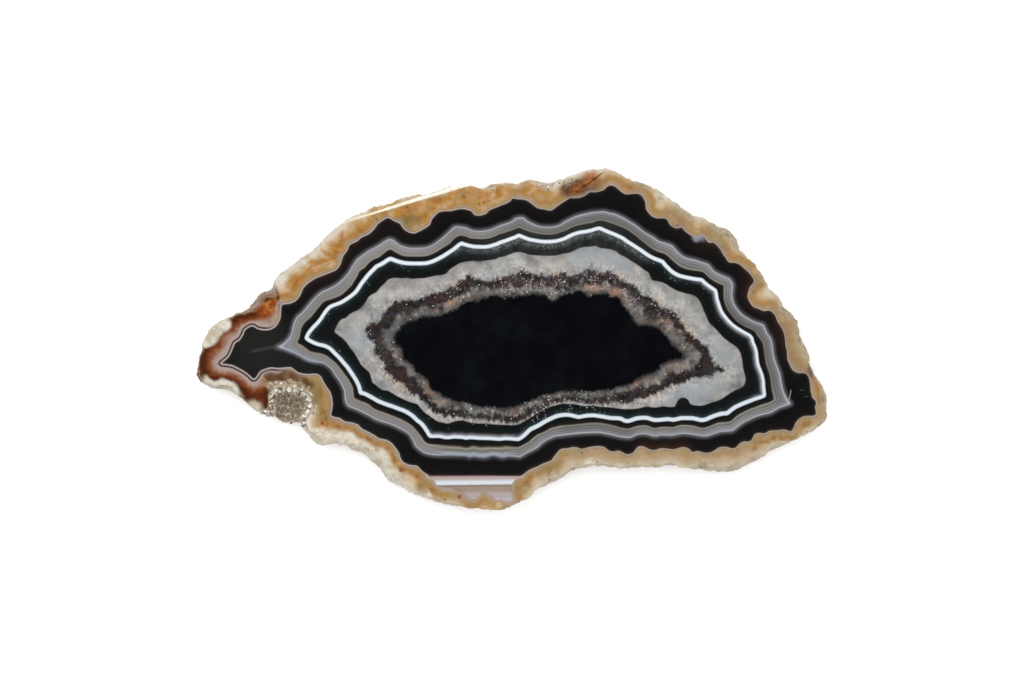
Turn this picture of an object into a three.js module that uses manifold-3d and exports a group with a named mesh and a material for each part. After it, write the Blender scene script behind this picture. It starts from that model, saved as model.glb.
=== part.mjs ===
// A polished agate slice with a small crystal pocket in its rim.
// The slice lies flat on its sawn back. X runs along its length, Z is up, and every size is in
// millimetres. The bands are colour inside the stone, so only the rough skin, the ground edge and
// the pocket have relief.

import * as THREE from 'three';
import { mergeVertices } from 'three/addons/utils/BufferGeometryUtils.js';
import Module from 'manifold-3d';

// Slice
const THICKNESS = 6;
const RIM_STEPS = 260;
const EASED_EDGE = 0.3;
const FACE_STEP = 0.7;
const WIDEST_HEIGHT = 3.3;
const BACK_UNDERCUT = 1.1;
const UNDERCUT_CURVE = 2;
const SHOULDER_CURVE = 1.6;

// Rough skin, with seeded lumps, pits and ledges
const SKIN_LEVELS = [6, 5.7, 5.0, 4.2, 3.4, 2.6, 1.8, 1.0, 0.35, 0];
const LUMPS = { count: 300, radius: [0.9, 2.4], height: [-0.15, -0.5] };
const PITS = { count: 34, radius: [0.7, 1.3], height: [0.35, 0.8] };
const LEDGES = { count: 16, length: [3, 9], level: [1.4, 4.4], depth: [0.3, 0.7], fade: 1, lip: [-0.2, 0.4] };
const DEEPEST_RELIEF = 2.2;

// Straight edge ground on the upper left, with its bevel
const GROUND_EDGE = { start: [-26.5, 18.35], end: [-6.6, 24.25], bevel: [0.2, 1.0], drop: [0.35, 0.9] };

// Sloping shoulders where the polish stops short of the skin
const SHOULDERS = [
	{ at: [-28.0, -17.0], reach: 4.0, width: 1.4 },
	{ at: [-22.4, -19.3], reach: 4.0, width: 1.5 },
	{ at: [-18.6, -23.0], reach: 3.0, width: 0.8 },
	{ at: [-34.5, 12.3], reach: 4.0, width: 0.7 },
	{ at: [49.5, -9.0], reach: 3.0, width: 0.7 },
];

// Crystal pocket, open on the outer side of the rim. Its wall drops steeply from the rim and flattens
// towards the floor, in rings at these shares of the way to the centre.
const POCKET_CENTRE = [-35.3, -10.7];
const POCKET_FLOOR = 2.1;
const POCKET_LIP = THICKNESS + 0.6;
const BOWL_SHARES = [0, 0.14, 0.3, 0.5, 0.75];
const BOWL_WALL = { share: 0.5, curve: 1.5 };
const CUTTER_TOP = THICKNESS + 1;
const POCKET_GAP = 0.34;
const CRUST_THICKNESS = 0.75;
const GROWTH_TOP = THICKNESS + 2;
const SAW = { width: 40, height: 4 };
const CRYSTALS = { count: 70, sides: 6, radius: [0.3, 0.52], length: [0.7, 1.3], tilt: 0.5 };
const CRYSTAL_FOOT = 0.35;
const CRYSTAL_SHOULDER = { radius: 0.9, height: 0.45 };
const CRYSTAL_PLACES = { shares: [0.04, 0.96], rooted: 0.8 };
const CRYSTAL_CLEARANCE = 0.12;

// Outline seen from above, clockwise from the left tip
const OUTLINE = [
	[-49.95, -6.1], [-49.6, -3.7], [-49.0, -1.3], [-48.5, 0.3], [-47.6, 1.75], [-46.2, 2.9], [-44.15, 3.7],
	[-42.4, 4.55], [-41.1, 5.9], [-40.05, 7.35], [-39.4, 7.8], [-38.05, 7.9], [-37.75, 9.3], [-36.8, 10.55],
	[-35.0, 11.7], [-34.0, 12.7], [-31.6, 14.15], [-29.75, 15.9], [-28.2, 17.45], [-26.5, 18.65],
	[-24.7, 19.75], [-22.5, 20.65], [-20.0, 21.35], [-18.0, 22.25], [-16.0, 22.8], [-13.2, 23.05],
	[-10.0, 24.1], [-8.0, 24.55], [-6.2, 24.35], [-5.3, 23.8], [-4.6, 23.75], [-3.5, 24.55], [-1.75, 24.9],
	[-0.8, 24.7], [0.0, 24.8], [1.4, 24.6], [1.8, 25.2], [3.0, 25.45], [4.35, 24.95], [5.8, 24.7],
	[7.25, 25.2], [9.0, 25.75], [11.1, 26.5], [12.9, 26.85], [13.9, 27.1], [14.9, 27.05], [16.65, 26.3],
	[18.6, 25.45], [20.8, 24.65], [22.75, 23.9], [24.35, 22.8], [25.95, 21.6], [27.55, 20.3], [28.5, 19.65],
	[29.5, 19.5], [31.4, 18.55], [32.2, 18.0], [33.4, 17.8], [34.7, 17.1], [35.5, 16.1], [36.1, 14.65],
	[36.0, 13.95], [36.7, 13.75], [37.6, 12.5], [38.6, 11.35], [39.65, 9.75], [40.6, 8.2], [41.1, 7.65],
	[41.9, 7.25], [42.6, 6.5], [43.0, 5.6], [43.65, 4.8], [44.6, 4.15], [45.0, 3.65], [45.4, 1.9],
	[45.8, 0.2], [45.75, -0.35], [46.8, -1.8], [46.95, -3.55], [47.8, -4.85], [48.0, -5.85], [49.3, -7.6],
	[49.95, -9.2], [50.05, -10.2], [49.85, -11.1], [50.05, -12.1], [49.85, -12.9], [48.6, -14.0],
	[47.8, -14.6], [46.2, -15.0], [45.4, -15.3], [44.8, -15.95], [43.8, -16.25], [42.9, -16.9],
	[40.95, -17.7], [39.0, -19.0], [36.95, -20.0], [36.3, -20.5], [34.0, -20.9], [32.3, -21.0],
	[29.9, -20.65], [27.0, -20.3], [24.9, -19.9], [23.6, -20.15], [20.0, -20.2], [16.4, -20.3],
	[14.3, -19.95], [12.1, -20.15], [9.85, -20.6], [8.1, -21.6], [6.1, -22.8], [4.35, -23.5], [3.2, -24.1],
	[2.75, -24.9], [1.0, -25.95], [-0.95, -26.85], [-3.35, -27.0], [-5.75, -26.75], [-9.1, -26.4],
	[-11.2, -26.0], [-12.3, -25.55], [-15.0, -24.65], [-16.8, -23.9], [-17.9, -23.2], [-19.0, -22.85],
	[-20.0, -22.1], [-20.6, -21.2], [-21.4, -19.95], [-22.2, -19.55], [-22.85, -18.7], [-23.8, -18.0],
	[-25.7, -17.3], [-26.5, -16.8], [-28.4, -16.6], [-30.1, -16.8], [-31.0, -16.7], [-31.8, -16.2],
	[-32.6, -14.6], [-33.1, -13.85], [-34.1, -13.5], [-36.6, -13.55], [-37.9, -12.6], [-38.6, -12.0],
	[-40.6, -11.3], [-41.4, -10.7], [-42.6, -9.4], [-44.35, -8.5], [-46.1, -7.85], [-47.3, -7.9],
	[-48.9, -7.0], [-49.7, -6.6],
];

// Rim of the pocket, clockwise from its left lip to its right lip. The open side has no rim.
const POCKET_RIM = [
	[-38.6, -11.7], [-38.45, -10.5], [-38.65, -8.8], [-38.3, -8.05], [-37.6, -7.6], [-36.5, -7.3],
	[-35.2, -7.25], [-34.1, -7.6], [-33.1, -8.05], [-32.2, -8.4], [-31.6, -8.95], [-31.3, -9.95],
	[-31.6, -11.0], [-31.9, -11.95], [-32.6, -12.85],
];
const POCKET_MOUTH = [[-32.4, -14.4], [-34.0, -16.0], [-37.0, -16.0], [-39.4, -13.4]];
const CRUST_FRONT = [[-33.3, -13.25], [-34.3, -13.1], [-35.5, -13.1], [-36.5, -13.1], [-37.5, -12.5]];

const random = seededRandom(20);

function seededRandom(seed) {
	let state = seed;
	return function next() {
		state = (state * 1664525 + 1013904223) % 4294967296;
		return state / 4294967296;
	};
}

function between([low, high]) {
	return low + (high - low) * random();
}

function distance(a, b) {
	return Math.hypot(a[0] - b[0], a[1] - b[1]);
}

function mix(a, b, share) {
	return [a[0] + (b[0] - a[0]) * share, a[1] + (b[1] - a[1]) * share];
}

// Evenly spaced points on a smooth closed curve through the given ones
function smoothLoop(points, count) {
	const curve = new THREE.CatmullRomCurve3(points.map(([x, y]) => new THREE.Vector3(x, y, 0)), true);
	curve.arcLengthDivisions = count * 8;
	const spaced = curve.getSpacedPoints(count).slice(0, count);
	return { points: spaced.map((point) => [point.x, point.y]), length: curve.getLength() };
}

// Unit vectors that point into the stone at each point of a clockwise loop
function inwardDirections(points) {
	return points.map((point, i) => {
		const before = points[(i + points.length - 2) % points.length];
		const after = points[(i + 2) % points.length];
		const along = new THREE.Vector2(after[0] - before[0], after[1] - before[1]).normalize();
		return [along.y, -along.x];
	});
}

// How far a point lies beyond the ground edge's line, and its share of the way along it
function beyondGroundEdge([x, y]) {
	const { start, end } = GROUND_EDGE;
	const length = distance(start, end);
	const along = [(end[0] - start[0]) / length, (end[1] - start[1]) / length];
	const share = ((x - start[0]) * along[0] + (y - start[1]) * along[1]) / length;
	const beyond = (y - start[1]) * along[0] - (x - start[0]) * along[1];
	return { share, beyond };
}

function shoulderWidth(point) {
	return SHOULDERS.reduce((width, { at, reach, width: most }) => {
		return Math.max(width, most * Math.exp(-((distance(point, at) / reach) ** 2)));
	}, 0);
}

function makeRelief(length) {
	const blob = ({ radius, height }) => ({
		along: random() * length,
		level: random() * THICKNESS,
		radius: between(radius),
		height: between(height),
	});
	return {
		blobs: [
			...Array.from({ length: LUMPS.count }, () => blob(LUMPS)),
			...Array.from({ length: PITS.count }, () => blob(PITS)),
		],
		ledges: Array.from({ length: LEDGES.count }, () => ({
			along: random() * length,
			half: between(LEDGES.length) / 2,
			level: between(LEDGES.level),
			depth: between(LEDGES.depth),
			below: random() < 0.5,
		})),
	};
}

// Depth of the skin at one place on the rim, before the column is pushed out to the outline
function skinDepth(relief, along, level, length) {
	const apart = (a, b) => Math.min(Math.abs(a - b), length - Math.abs(a - b));
	let depth = 0;
	for (const blob of relief.blobs) {
		const reach = Math.hypot(apart(along, blob.along), level - blob.level) / blob.radius;
		depth += blob.height * Math.exp(-reach * reach);
	}
	for (const ledge of relief.ledges) {
		const fade = THREE.MathUtils.smoothstep(ledge.half + LEDGES.fade - apart(along, ledge.along), 0, LEDGES.fade);
		const side = ledge.below ? ledge.level - level : level - ledge.level;
		depth += ledge.depth * fade * THREE.MathUtils.smoothstep(side, ...LEDGES.lip);
	}
	return depth;
}

function columnInsets(point, along, relief, length) {
	const edge = beyondGroundEdge(point);
	const ground = edge.share > 0 && edge.share < 1 && edge.beyond > 0 ? edge.beyond : 0;
	const shoulder = shoulderWidth(point);
	const faceInset = EASED_EDGE + shoulder;
	const skin = SKIN_LEVELS.map((level) => {
		const above = (level - WIDEST_HEIGHT) / (THICKNESS - WIDEST_HEIGHT);
		const below = (WIDEST_HEIGHT - level) / WIDEST_HEIGHT;
		const towardsFace = level > WIDEST_HEIGHT;
		const envelope = towardsFace ? shoulder * above ** SHOULDER_CURVE : BACK_UNDERCUT * below ** UNDERCUT_CURVE;
		return envelope + skinDepth(relief, along, level, length);
	});
	const least = Math.min(...skin);
	const insets = skin.map((depth) => Math.min(depth - least, DEEPEST_RELIEF));
	insets[0] = Math.max(faceInset, insets[1] + EASED_EDGE * FACE_STEP);
	insets[insets.length - 1] = insets[insets.length - 2] + EASED_EDGE;
	if (ground > 0) {
		const bevel = THREE.MathUtils.lerp(...GROUND_EDGE.bevel, edge.share);
		insets[0] = Math.max(ground, EASED_EDGE);
		insets[1] = Math.max(insets[0] - bevel, EASED_EDGE / 3);
		insets[2] = Math.min(insets[2], insets[1]);
	}
	return insets;
}

function columnLevels(point) {
	const edge = beyondGroundEdge(point);
	const levels = [...SKIN_LEVELS];
	if (edge.share > 0 && edge.share < 1 && edge.beyond > 0) {
		levels[1] = THICKNESS - THREE.MathUtils.lerp(...GROUND_EDGE.drop, edge.share);
	}
	return levels;
}

// Closed geometry from a stack of loops with equal numbers of points, first loop on top
function skinnedLoops(loops) {
	const count = loops[0].length;
	const faces = [];
	for (let ring = 0; ring + 1 < loops.length; ring += 1) {
		for (let i = 0; i < count; i += 1) {
			const j = (i + 1) % count;
			const top = ring * count;
			const low = top + count;
			faces.push(top + i, top + j, low + j, top + i, low + j, low + i);
		}
	}
	const flat = (loop) => loop.map(([x, y]) => new THREE.Vector2(x, y));
	const last = (loops.length - 1) * count;
	for (const [a, b, c] of THREE.ShapeUtils.triangulateShape(flat(loops[0]), [])) {
		faces.push(a, b, c);
	}
	for (const [a, b, c] of THREE.ShapeUtils.triangulateShape(flat(loops.at(-1)), [])) {
		faces.push(last + c, last + b, last + a);
	}
	const geometry = new THREE.BufferGeometry();
	geometry.setAttribute('position', new THREE.Float32BufferAttribute(loops.flat(2), 3));
	geometry.setIndex(faces);
	return geometry;
}

function sliceGeometry() {
	const { points, length } = smoothLoop(OUTLINE, RIM_STEPS);
	const inward = inwardDirections(points);
	const relief = makeRelief(length);
	const columns = points.map((point, i) => {
		const insets = columnInsets(point, (i / RIM_STEPS) * length, relief, length);
		const levels = columnLevels(point);
		return insets.map((inset, k) => {
			return [point[0] + inward[i][0] * inset, point[1] + inward[i][1] * inset, levels[k]];
		});
	});
	return skinnedLoops(SKIN_LEVELS.map((_, k) => columns.map((column) => column[k])));
}

// Height of the bowl at a share of the way from its rim to its centre
function bowlHeight(share, rimHeight, floor) {
	return floor + (rimHeight - floor) * (1 - Math.min(share / BOWL_WALL.share, 1)) ** BOWL_WALL.curve;
}

function pocketCutter() {
	const rim = POCKET_RIM.map((point) => ({ point, height: POCKET_LIP }));
	const mouth = POCKET_MOUTH.map((point) => ({ point, height: POCKET_FLOOR }));
	const loop = [...rim, ...mouth];
	const lid = loop.map(({ point }) => [...point, CUTTER_TOP]);
	const bowl = BOWL_SHARES.map((share) => loop.map(({ point, height }) => {
		return [...mix(point, POCKET_CENTRE, share), bowlHeight(share, height, POCKET_FLOOR)];
	}));
	return skinnedLoops([lid, ...bowl]);
}

// A point on the crust's underside, a gap above the bowl
function crustPoint({ point, height }, share) {
	return [...mix(point, POCKET_CENTRE, share), bowlHeight(share, height, POCKET_FLOOR) + POCKET_GAP];
}

// The crust's edge: it lines the bowl and stops short of the left lip
function crustLoop() {
	const rim = POCKET_RIM.slice(1).map((point) => {
		const gap = POCKET_GAP / distance(point, POCKET_CENTRE);
		return { point: mix(point, POCKET_CENTRE, gap), height: POCKET_LIP };
	});
	const front = CRUST_FRONT.map((point) => ({ point, height: POCKET_FLOOR }));
	return [...rim, ...front];
}

function crustSurface(raise) {
	const loop = crustLoop();
	return BOWL_SHARES.map((share) => loop.map((rimPoint) => {
		const [x, y, z] = crustPoint(rimPoint, share);
		return [x, y, z + raise];
	}));
}

function crustBase() {
	return skinnedLoops([...crustSurface(CRUST_THICKNESS).reverse(), ...crustSurface(0)]);
}

// The space that the crystals may grow in, a gap away from the bowl
function crustSpace() {
	const lid = crustLoop().map(({ point }) => [...point, GROWTH_TOP]);
	return skinnedLoops([lid, ...crustSurface(0)]);
}

// One six-sided quartz point, standing on the crust and leaning to one side
function crystalGeometry() {
	const radius = between(CRYSTALS.radius);
	const length = between(CRYSTALS.length);
	const shoulder = [radius * CRYSTAL_SHOULDER.radius, length * CRYSTAL_SHOULDER.height];
	const profile = [[0, -CRYSTAL_FOOT], [radius, -CRYSTAL_FOOT], shoulder, [0, length]];
	const points = profile.map(([r, h]) => new THREE.Vector2(r, h));
	const crystal = new THREE.LatheGeometry(points, CRYSTALS.sides);
	crystal.rotateX(Math.PI / 2);
	crystal.rotateZ(random() * Math.PI);
	crystal.rotateX((random() - 0.5) * 2 * CRYSTALS.tilt);
	crystal.rotateY((random() - 0.5) * 2 * CRYSTALS.tilt);
	return crystal;
}

function placedCrystals() {
	const loop = crustLoop();
	return Array.from({ length: CRYSTALS.count }, () => {
		const rimPoint = loop[Math.floor(random() * loop.length)];
		const share = THREE.MathUtils.lerp(...CRYSTAL_PLACES.shares, 1 - Math.sqrt(random()));
		const [x, y, z] = crustPoint(rimPoint, share);
		return crystalGeometry().translate(x, y, z + CRUST_THICKNESS * CRYSTAL_PLACES.rooted);
	});
}

const wasm = await Module();
wasm.setup();

function toSolid(geometry) {
	const bare = geometry.clone();
	bare.deleteAttribute('normal');
	bare.deleteAttribute('uv');
	const merged = mergeVertices(bare, 1e-4);
	return new wasm.Manifold(new wasm.Mesh({
		numProp: 3,
		vertProperties: new Float32Array(merged.attributes.position.array),
		triVerts: new Uint32Array(merged.index.array),
	}));
}

function toGeometry(solid) {
	const { vertProperties, triVerts } = solid.getMesh();
	const geometry = new THREE.BufferGeometry();
	geometry.setAttribute('position', new THREE.BufferAttribute(vertProperties, 3));
	geometry.setIndex(new THREE.BufferAttribute(triVerts, 1));
	geometry.computeVertexNormals();
	return geometry;
}

function trimBox(width, height, at) {
	return toSolid(new THREE.BoxGeometry(width, width, height).translate(...at));
}

function pocketCrust() {
	const grown = placedCrystals().reduce((crust, crystal) => crust.add(toSolid(crystal)), toSolid(crustBase()));
	const sawMiddle = THICKNESS - CRYSTAL_CLEARANCE + SAW.height / 2;
	const sawn = trimBox(SAW.width, SAW.height, [...POCKET_CENTRE, sawMiddle]);
	return withoutBubbles(grown.intersect(toSolid(crustSpace())).subtract(sawn));
}

// The outer shell alone, with no sealed gap left between grown-together crystals
function withoutBubbles(solid) {
	return solid.decompose().reduce((most, shell) => (shell.volume() > most.volume() ? shell : most));
}

const slice = toSolid(sliceGeometry()).subtract(toSolid(pocketCutter()));
const crust = pocketCrust();

const bounds = slice.boundingBox();
const centre = new THREE.Vector2(bounds.min[0] + bounds.max[0], bounds.min[1] + bounds.max[1]).divideScalar(2);

const bandedStone = new THREE.MeshStandardMaterial({ color: 0x5b534c, roughness: 0.25, metalness: 0 });
const quartzCrust = new THREE.MeshStandardMaterial({ color: 0xa59884, roughness: 0.4, metalness: 0 });

const sliceMesh = new THREE.Mesh(toGeometry(slice), bandedStone);
sliceMesh.name = 'agate_slice';

const crustMesh = new THREE.Mesh(toGeometry(crust), quartzCrust);
crustMesh.name = 'pocket_crystals';

const group = new THREE.Group();
group.add(sliceMesh, crustMesh);
group.position.set(-centre.x, -centre.y, 0);

export default group;
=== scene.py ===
# Agate slice: the looks of a flat polished slice of banded agate and the quartz crust in its rim.
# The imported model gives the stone's size and form. Lines and spots are in millimetres, seen from above.

import math

import bmesh
import bpy
import numpy as np
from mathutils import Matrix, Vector, kdtree, noise
from mathutils.bvhtree import BVHTree
from mathutils.geometry import delaunay_2d_cdt


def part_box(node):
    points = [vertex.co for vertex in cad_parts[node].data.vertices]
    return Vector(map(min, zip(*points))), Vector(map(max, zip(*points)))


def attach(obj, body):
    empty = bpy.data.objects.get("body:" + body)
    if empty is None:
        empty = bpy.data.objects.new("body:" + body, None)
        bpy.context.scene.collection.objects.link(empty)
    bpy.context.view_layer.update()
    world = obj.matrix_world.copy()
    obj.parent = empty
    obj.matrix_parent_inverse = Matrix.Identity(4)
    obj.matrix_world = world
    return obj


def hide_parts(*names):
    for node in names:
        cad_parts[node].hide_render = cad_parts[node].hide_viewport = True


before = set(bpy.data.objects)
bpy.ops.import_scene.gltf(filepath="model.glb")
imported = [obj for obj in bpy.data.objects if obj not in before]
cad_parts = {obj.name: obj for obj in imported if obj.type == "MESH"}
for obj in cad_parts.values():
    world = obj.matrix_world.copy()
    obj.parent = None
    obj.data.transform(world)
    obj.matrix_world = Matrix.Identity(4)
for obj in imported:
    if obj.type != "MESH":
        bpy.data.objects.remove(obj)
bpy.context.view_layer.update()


# The stone: one flat slice, sawn from a lump of agate 100 mm long, polished on top and left sawn
# below. Agate grows inwards from the skin in even layers, so each band is a closed line nested in
# the one before it.
MM = 0.001

# The lines where the colour changes, in millimetres, each run clockwise from the left tip
RIND_INNER = [
    (-45.85, -3.8), (-45.6, -3.55), (-44.8, -2.9), (-44.3, -2.1), (-43.7, -0.65), (-43.0, -0.2),
    (-42.45, 0.6), (-42.15, 1.35), (-41.6, 1.8), (-40.95, 2.05), (-40.45, 1.75), (-39.8, 1.5),
    (-38.85, 1.4), (-37.9, 1.6), (-37.25, 2.05), (-36.8, 2.7), (-36.5, 3.5), (-36.4, 5.2),
    (-35.95, 5.5), (-35.0, 5.65), (-34.2, 6.0), (-33.6, 6.6), (-33.2, 7.4), (-32.9, 8.1),
    (-32.0, 8.95), (-31.0, 9.6), (-29.9, 10.05), (-28.7, 10.5), (-27.75, 10.95), (-27.1, 11.75),
    (-26.85, 12.55), (-26.5, 13.35), (-26.0, 14.0), (-25.65, 14.8), (-25.2, 15.1), (-24.4, 15.5),
    (-23.75, 16.05), (-22.45, 16.7), (-21.8, 17.35), (-21.2, 18.15), (-20.5, 18.65), (-19.9, 19.05),
    (-19.4, 19.1), (-18.6, 18.65), (-17.8, 18.3), (-17.3, 17.65), (-16.85, 17.2), (-16.2, 16.85),
    (-15.4, 16.7), (-14.6, 17.05), (-13.8, 17.5), (-13.0, 18.05), (-12.7, 18.8), (-12.2, 19.45),
    (-11.6, 20.0), (-10.7, 20.2), (-9.6, 20.25), (-8.15, 20.55), (-7.0, 20.4), (-6.4, 20.15),
    (-6.0, 19.65), (-5.4, 19.5), (-4.6, 19.6), (-4.0, 19.9), (-3.5, 20.4), (-2.5, 20.8),
    (-1.75, 21.1), (-0.8, 21.5), (-0.2, 21.85), (0.05, 22.25), (0.8, 22.1), (1.6, 22.05),
    (2.4, 21.85), (3.2, 21.25), (4.0, 20.7), (5.0, 20.5), (5.95, 20.3), (6.4, 20.45), (7.05, 20.95),
    (8.0, 21.6), (9.1, 22.25), (9.9, 22.25), (10.9, 22.4), (11.7, 22.8), (12.2, 23.2), (13.0, 23.2),
    (13.9, 23.35), (14.55, 23.65), (15.05, 24.15), (15.7, 24.25), (16.3, 24.05), (16.8, 23.6),
    (17.3, 23.2), (17.9, 22.9), (18.9, 22.95), (19.8, 23.0), (20.35, 22.7), (20.75, 22.2),
    (21.0, 21.6), (21.1, 20.6), (21.6, 19.85), (22.1, 19.35), (22.9, 19.1), (23.7, 19.1),
    (24.35, 18.95), (24.8, 18.2), (25.3, 17.75), (25.95, 17.5), (26.75, 17.6), (27.2, 17.1),
    (27.85, 16.6), (28.5, 16.2), (29.0, 15.85), (29.7, 16.2), (30.2, 16.2), (30.6, 15.6),
    (31.1, 15.2), (31.7, 15.25), (32.05, 15.0), (32.75, 14.3), (33.25, 13.4), (33.7, 12.8),
    (34.2, 12.15), (35.2, 12.05), (35.95, 11.75), (36.6, 11.2), (37.4, 10.4), (38.0, 9.6),
    (38.05, 8.95), (37.5, 8.3), (37.25, 7.65), (37.1, 6.7), (37.5, 5.75), (38.05, 5.1),
    (38.85, 4.8), (39.65, 4.45), (40.5, 4.55), (41.1, 4.2), (41.5, 3.65), (41.9, 2.7), (42.4, 1.9),
    (42.8, 1.1), (43.0, 0.3), (43.1, -0.85), (43.35, -2.0), (43.4, -3.1), (43.8, -4.1),
    (44.3, -4.9), (45.1, -5.3), (46.2, -5.35), (46.7, -5.85), (46.95, -6.8), (47.1, -8.1),
    (47.35, -9.2), (47.9, -9.85), (47.75, -10.8), (47.9, -11.45), (47.7, -12.0), (46.2, -12.1),
    (45.4, -12.4), (44.8, -13.05), (44.4, -13.85), (44.0, -14.5), (43.0, -14.25), (41.7, -14.35),
    (40.6, -14.4), (39.8, -14.8), (38.85, -14.75), (38.2, -15.0), (37.8, -15.8), (37.25, -16.1),
    (36.5, -16.1), (35.8, -16.5), (35.3, -17.05), (34.7, -17.2), (33.7, -16.95), (32.6, -17.05),
    (32.1, -17.4), (31.3, -17.8), (30.2, -17.85), (29.2, -17.6), (28.45, -17.8), (27.9, -17.25),
    (27.15, -17.0), (26.5, -17.05), (25.55, -17.35), (24.6, -17.25), (23.5, -17.15),
    (22.5, -17.45), (21.6, -17.3), (20.9, -16.95), (20.1, -16.85), (19.6, -17.2), (19.15, -17.8),
    (18.65, -18.05), (18.0, -18.1), (17.4, -17.8), (16.7, -17.55), (15.8, -17.7), (15.1, -17.45),
    (14.65, -17.05), (13.85, -16.85), (12.7, -16.9), (10.95, -17.25), (10.3, -17.05), (9.5, -17.0),
    (8.6, -17.2), (7.7, -17.3), (7.1, -17.85), (6.6, -18.5), (6.2, -19.05), (5.65, -19.3),
    (4.85, -19.6), (3.85, -20.1), (2.9, -20.5), (2.1, -21.0), (1.4, -21.5), (0.4, -21.55),
    (-6.0, -21.5), (-12.4, -21.5), (-13.1, -21.45), (-14.2, -20.75), (-15.0, -19.95),
    (-16.1, -19.8), (-17.1, -19.4), (-17.6, -18.7), (-17.9, -17.8), (-18.4, -17.05),
    (-19.0, -16.35), (-19.8, -15.85), (-20.95, -15.6), (-21.9, -15.0), (-22.85, -14.5),
    (-23.65, -14.1), (-24.3, -13.45), (-25.1, -13.15), (-26.4, -12.9), (-27.2, -12.4),
    (-28.0, -12.25), (-28.55, -11.95), (-28.4, -11.1), (-28.3, -10.2), (-28.45, -9.05),
    (-28.7, -8.25), (-29.3, -7.45), (-29.75, -6.65), (-30.2, -5.8), (-31.0, -5.4), (-32.3, -5.45),
    (-33.6, -5.25), (-34.35, -4.75), (-35.0, -4.4), (-36.9, -4.5), (-38.05, -4.4), (-39.0, -4.65),
    (-39.8, -5.05), (-40.3, -5.8), (-40.8, -6.2), (-41.4, -5.65), (-42.05, -5.15), (-43.0, -4.6),
    (-44.0, -4.1), (-44.95, -3.9),
]
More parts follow.
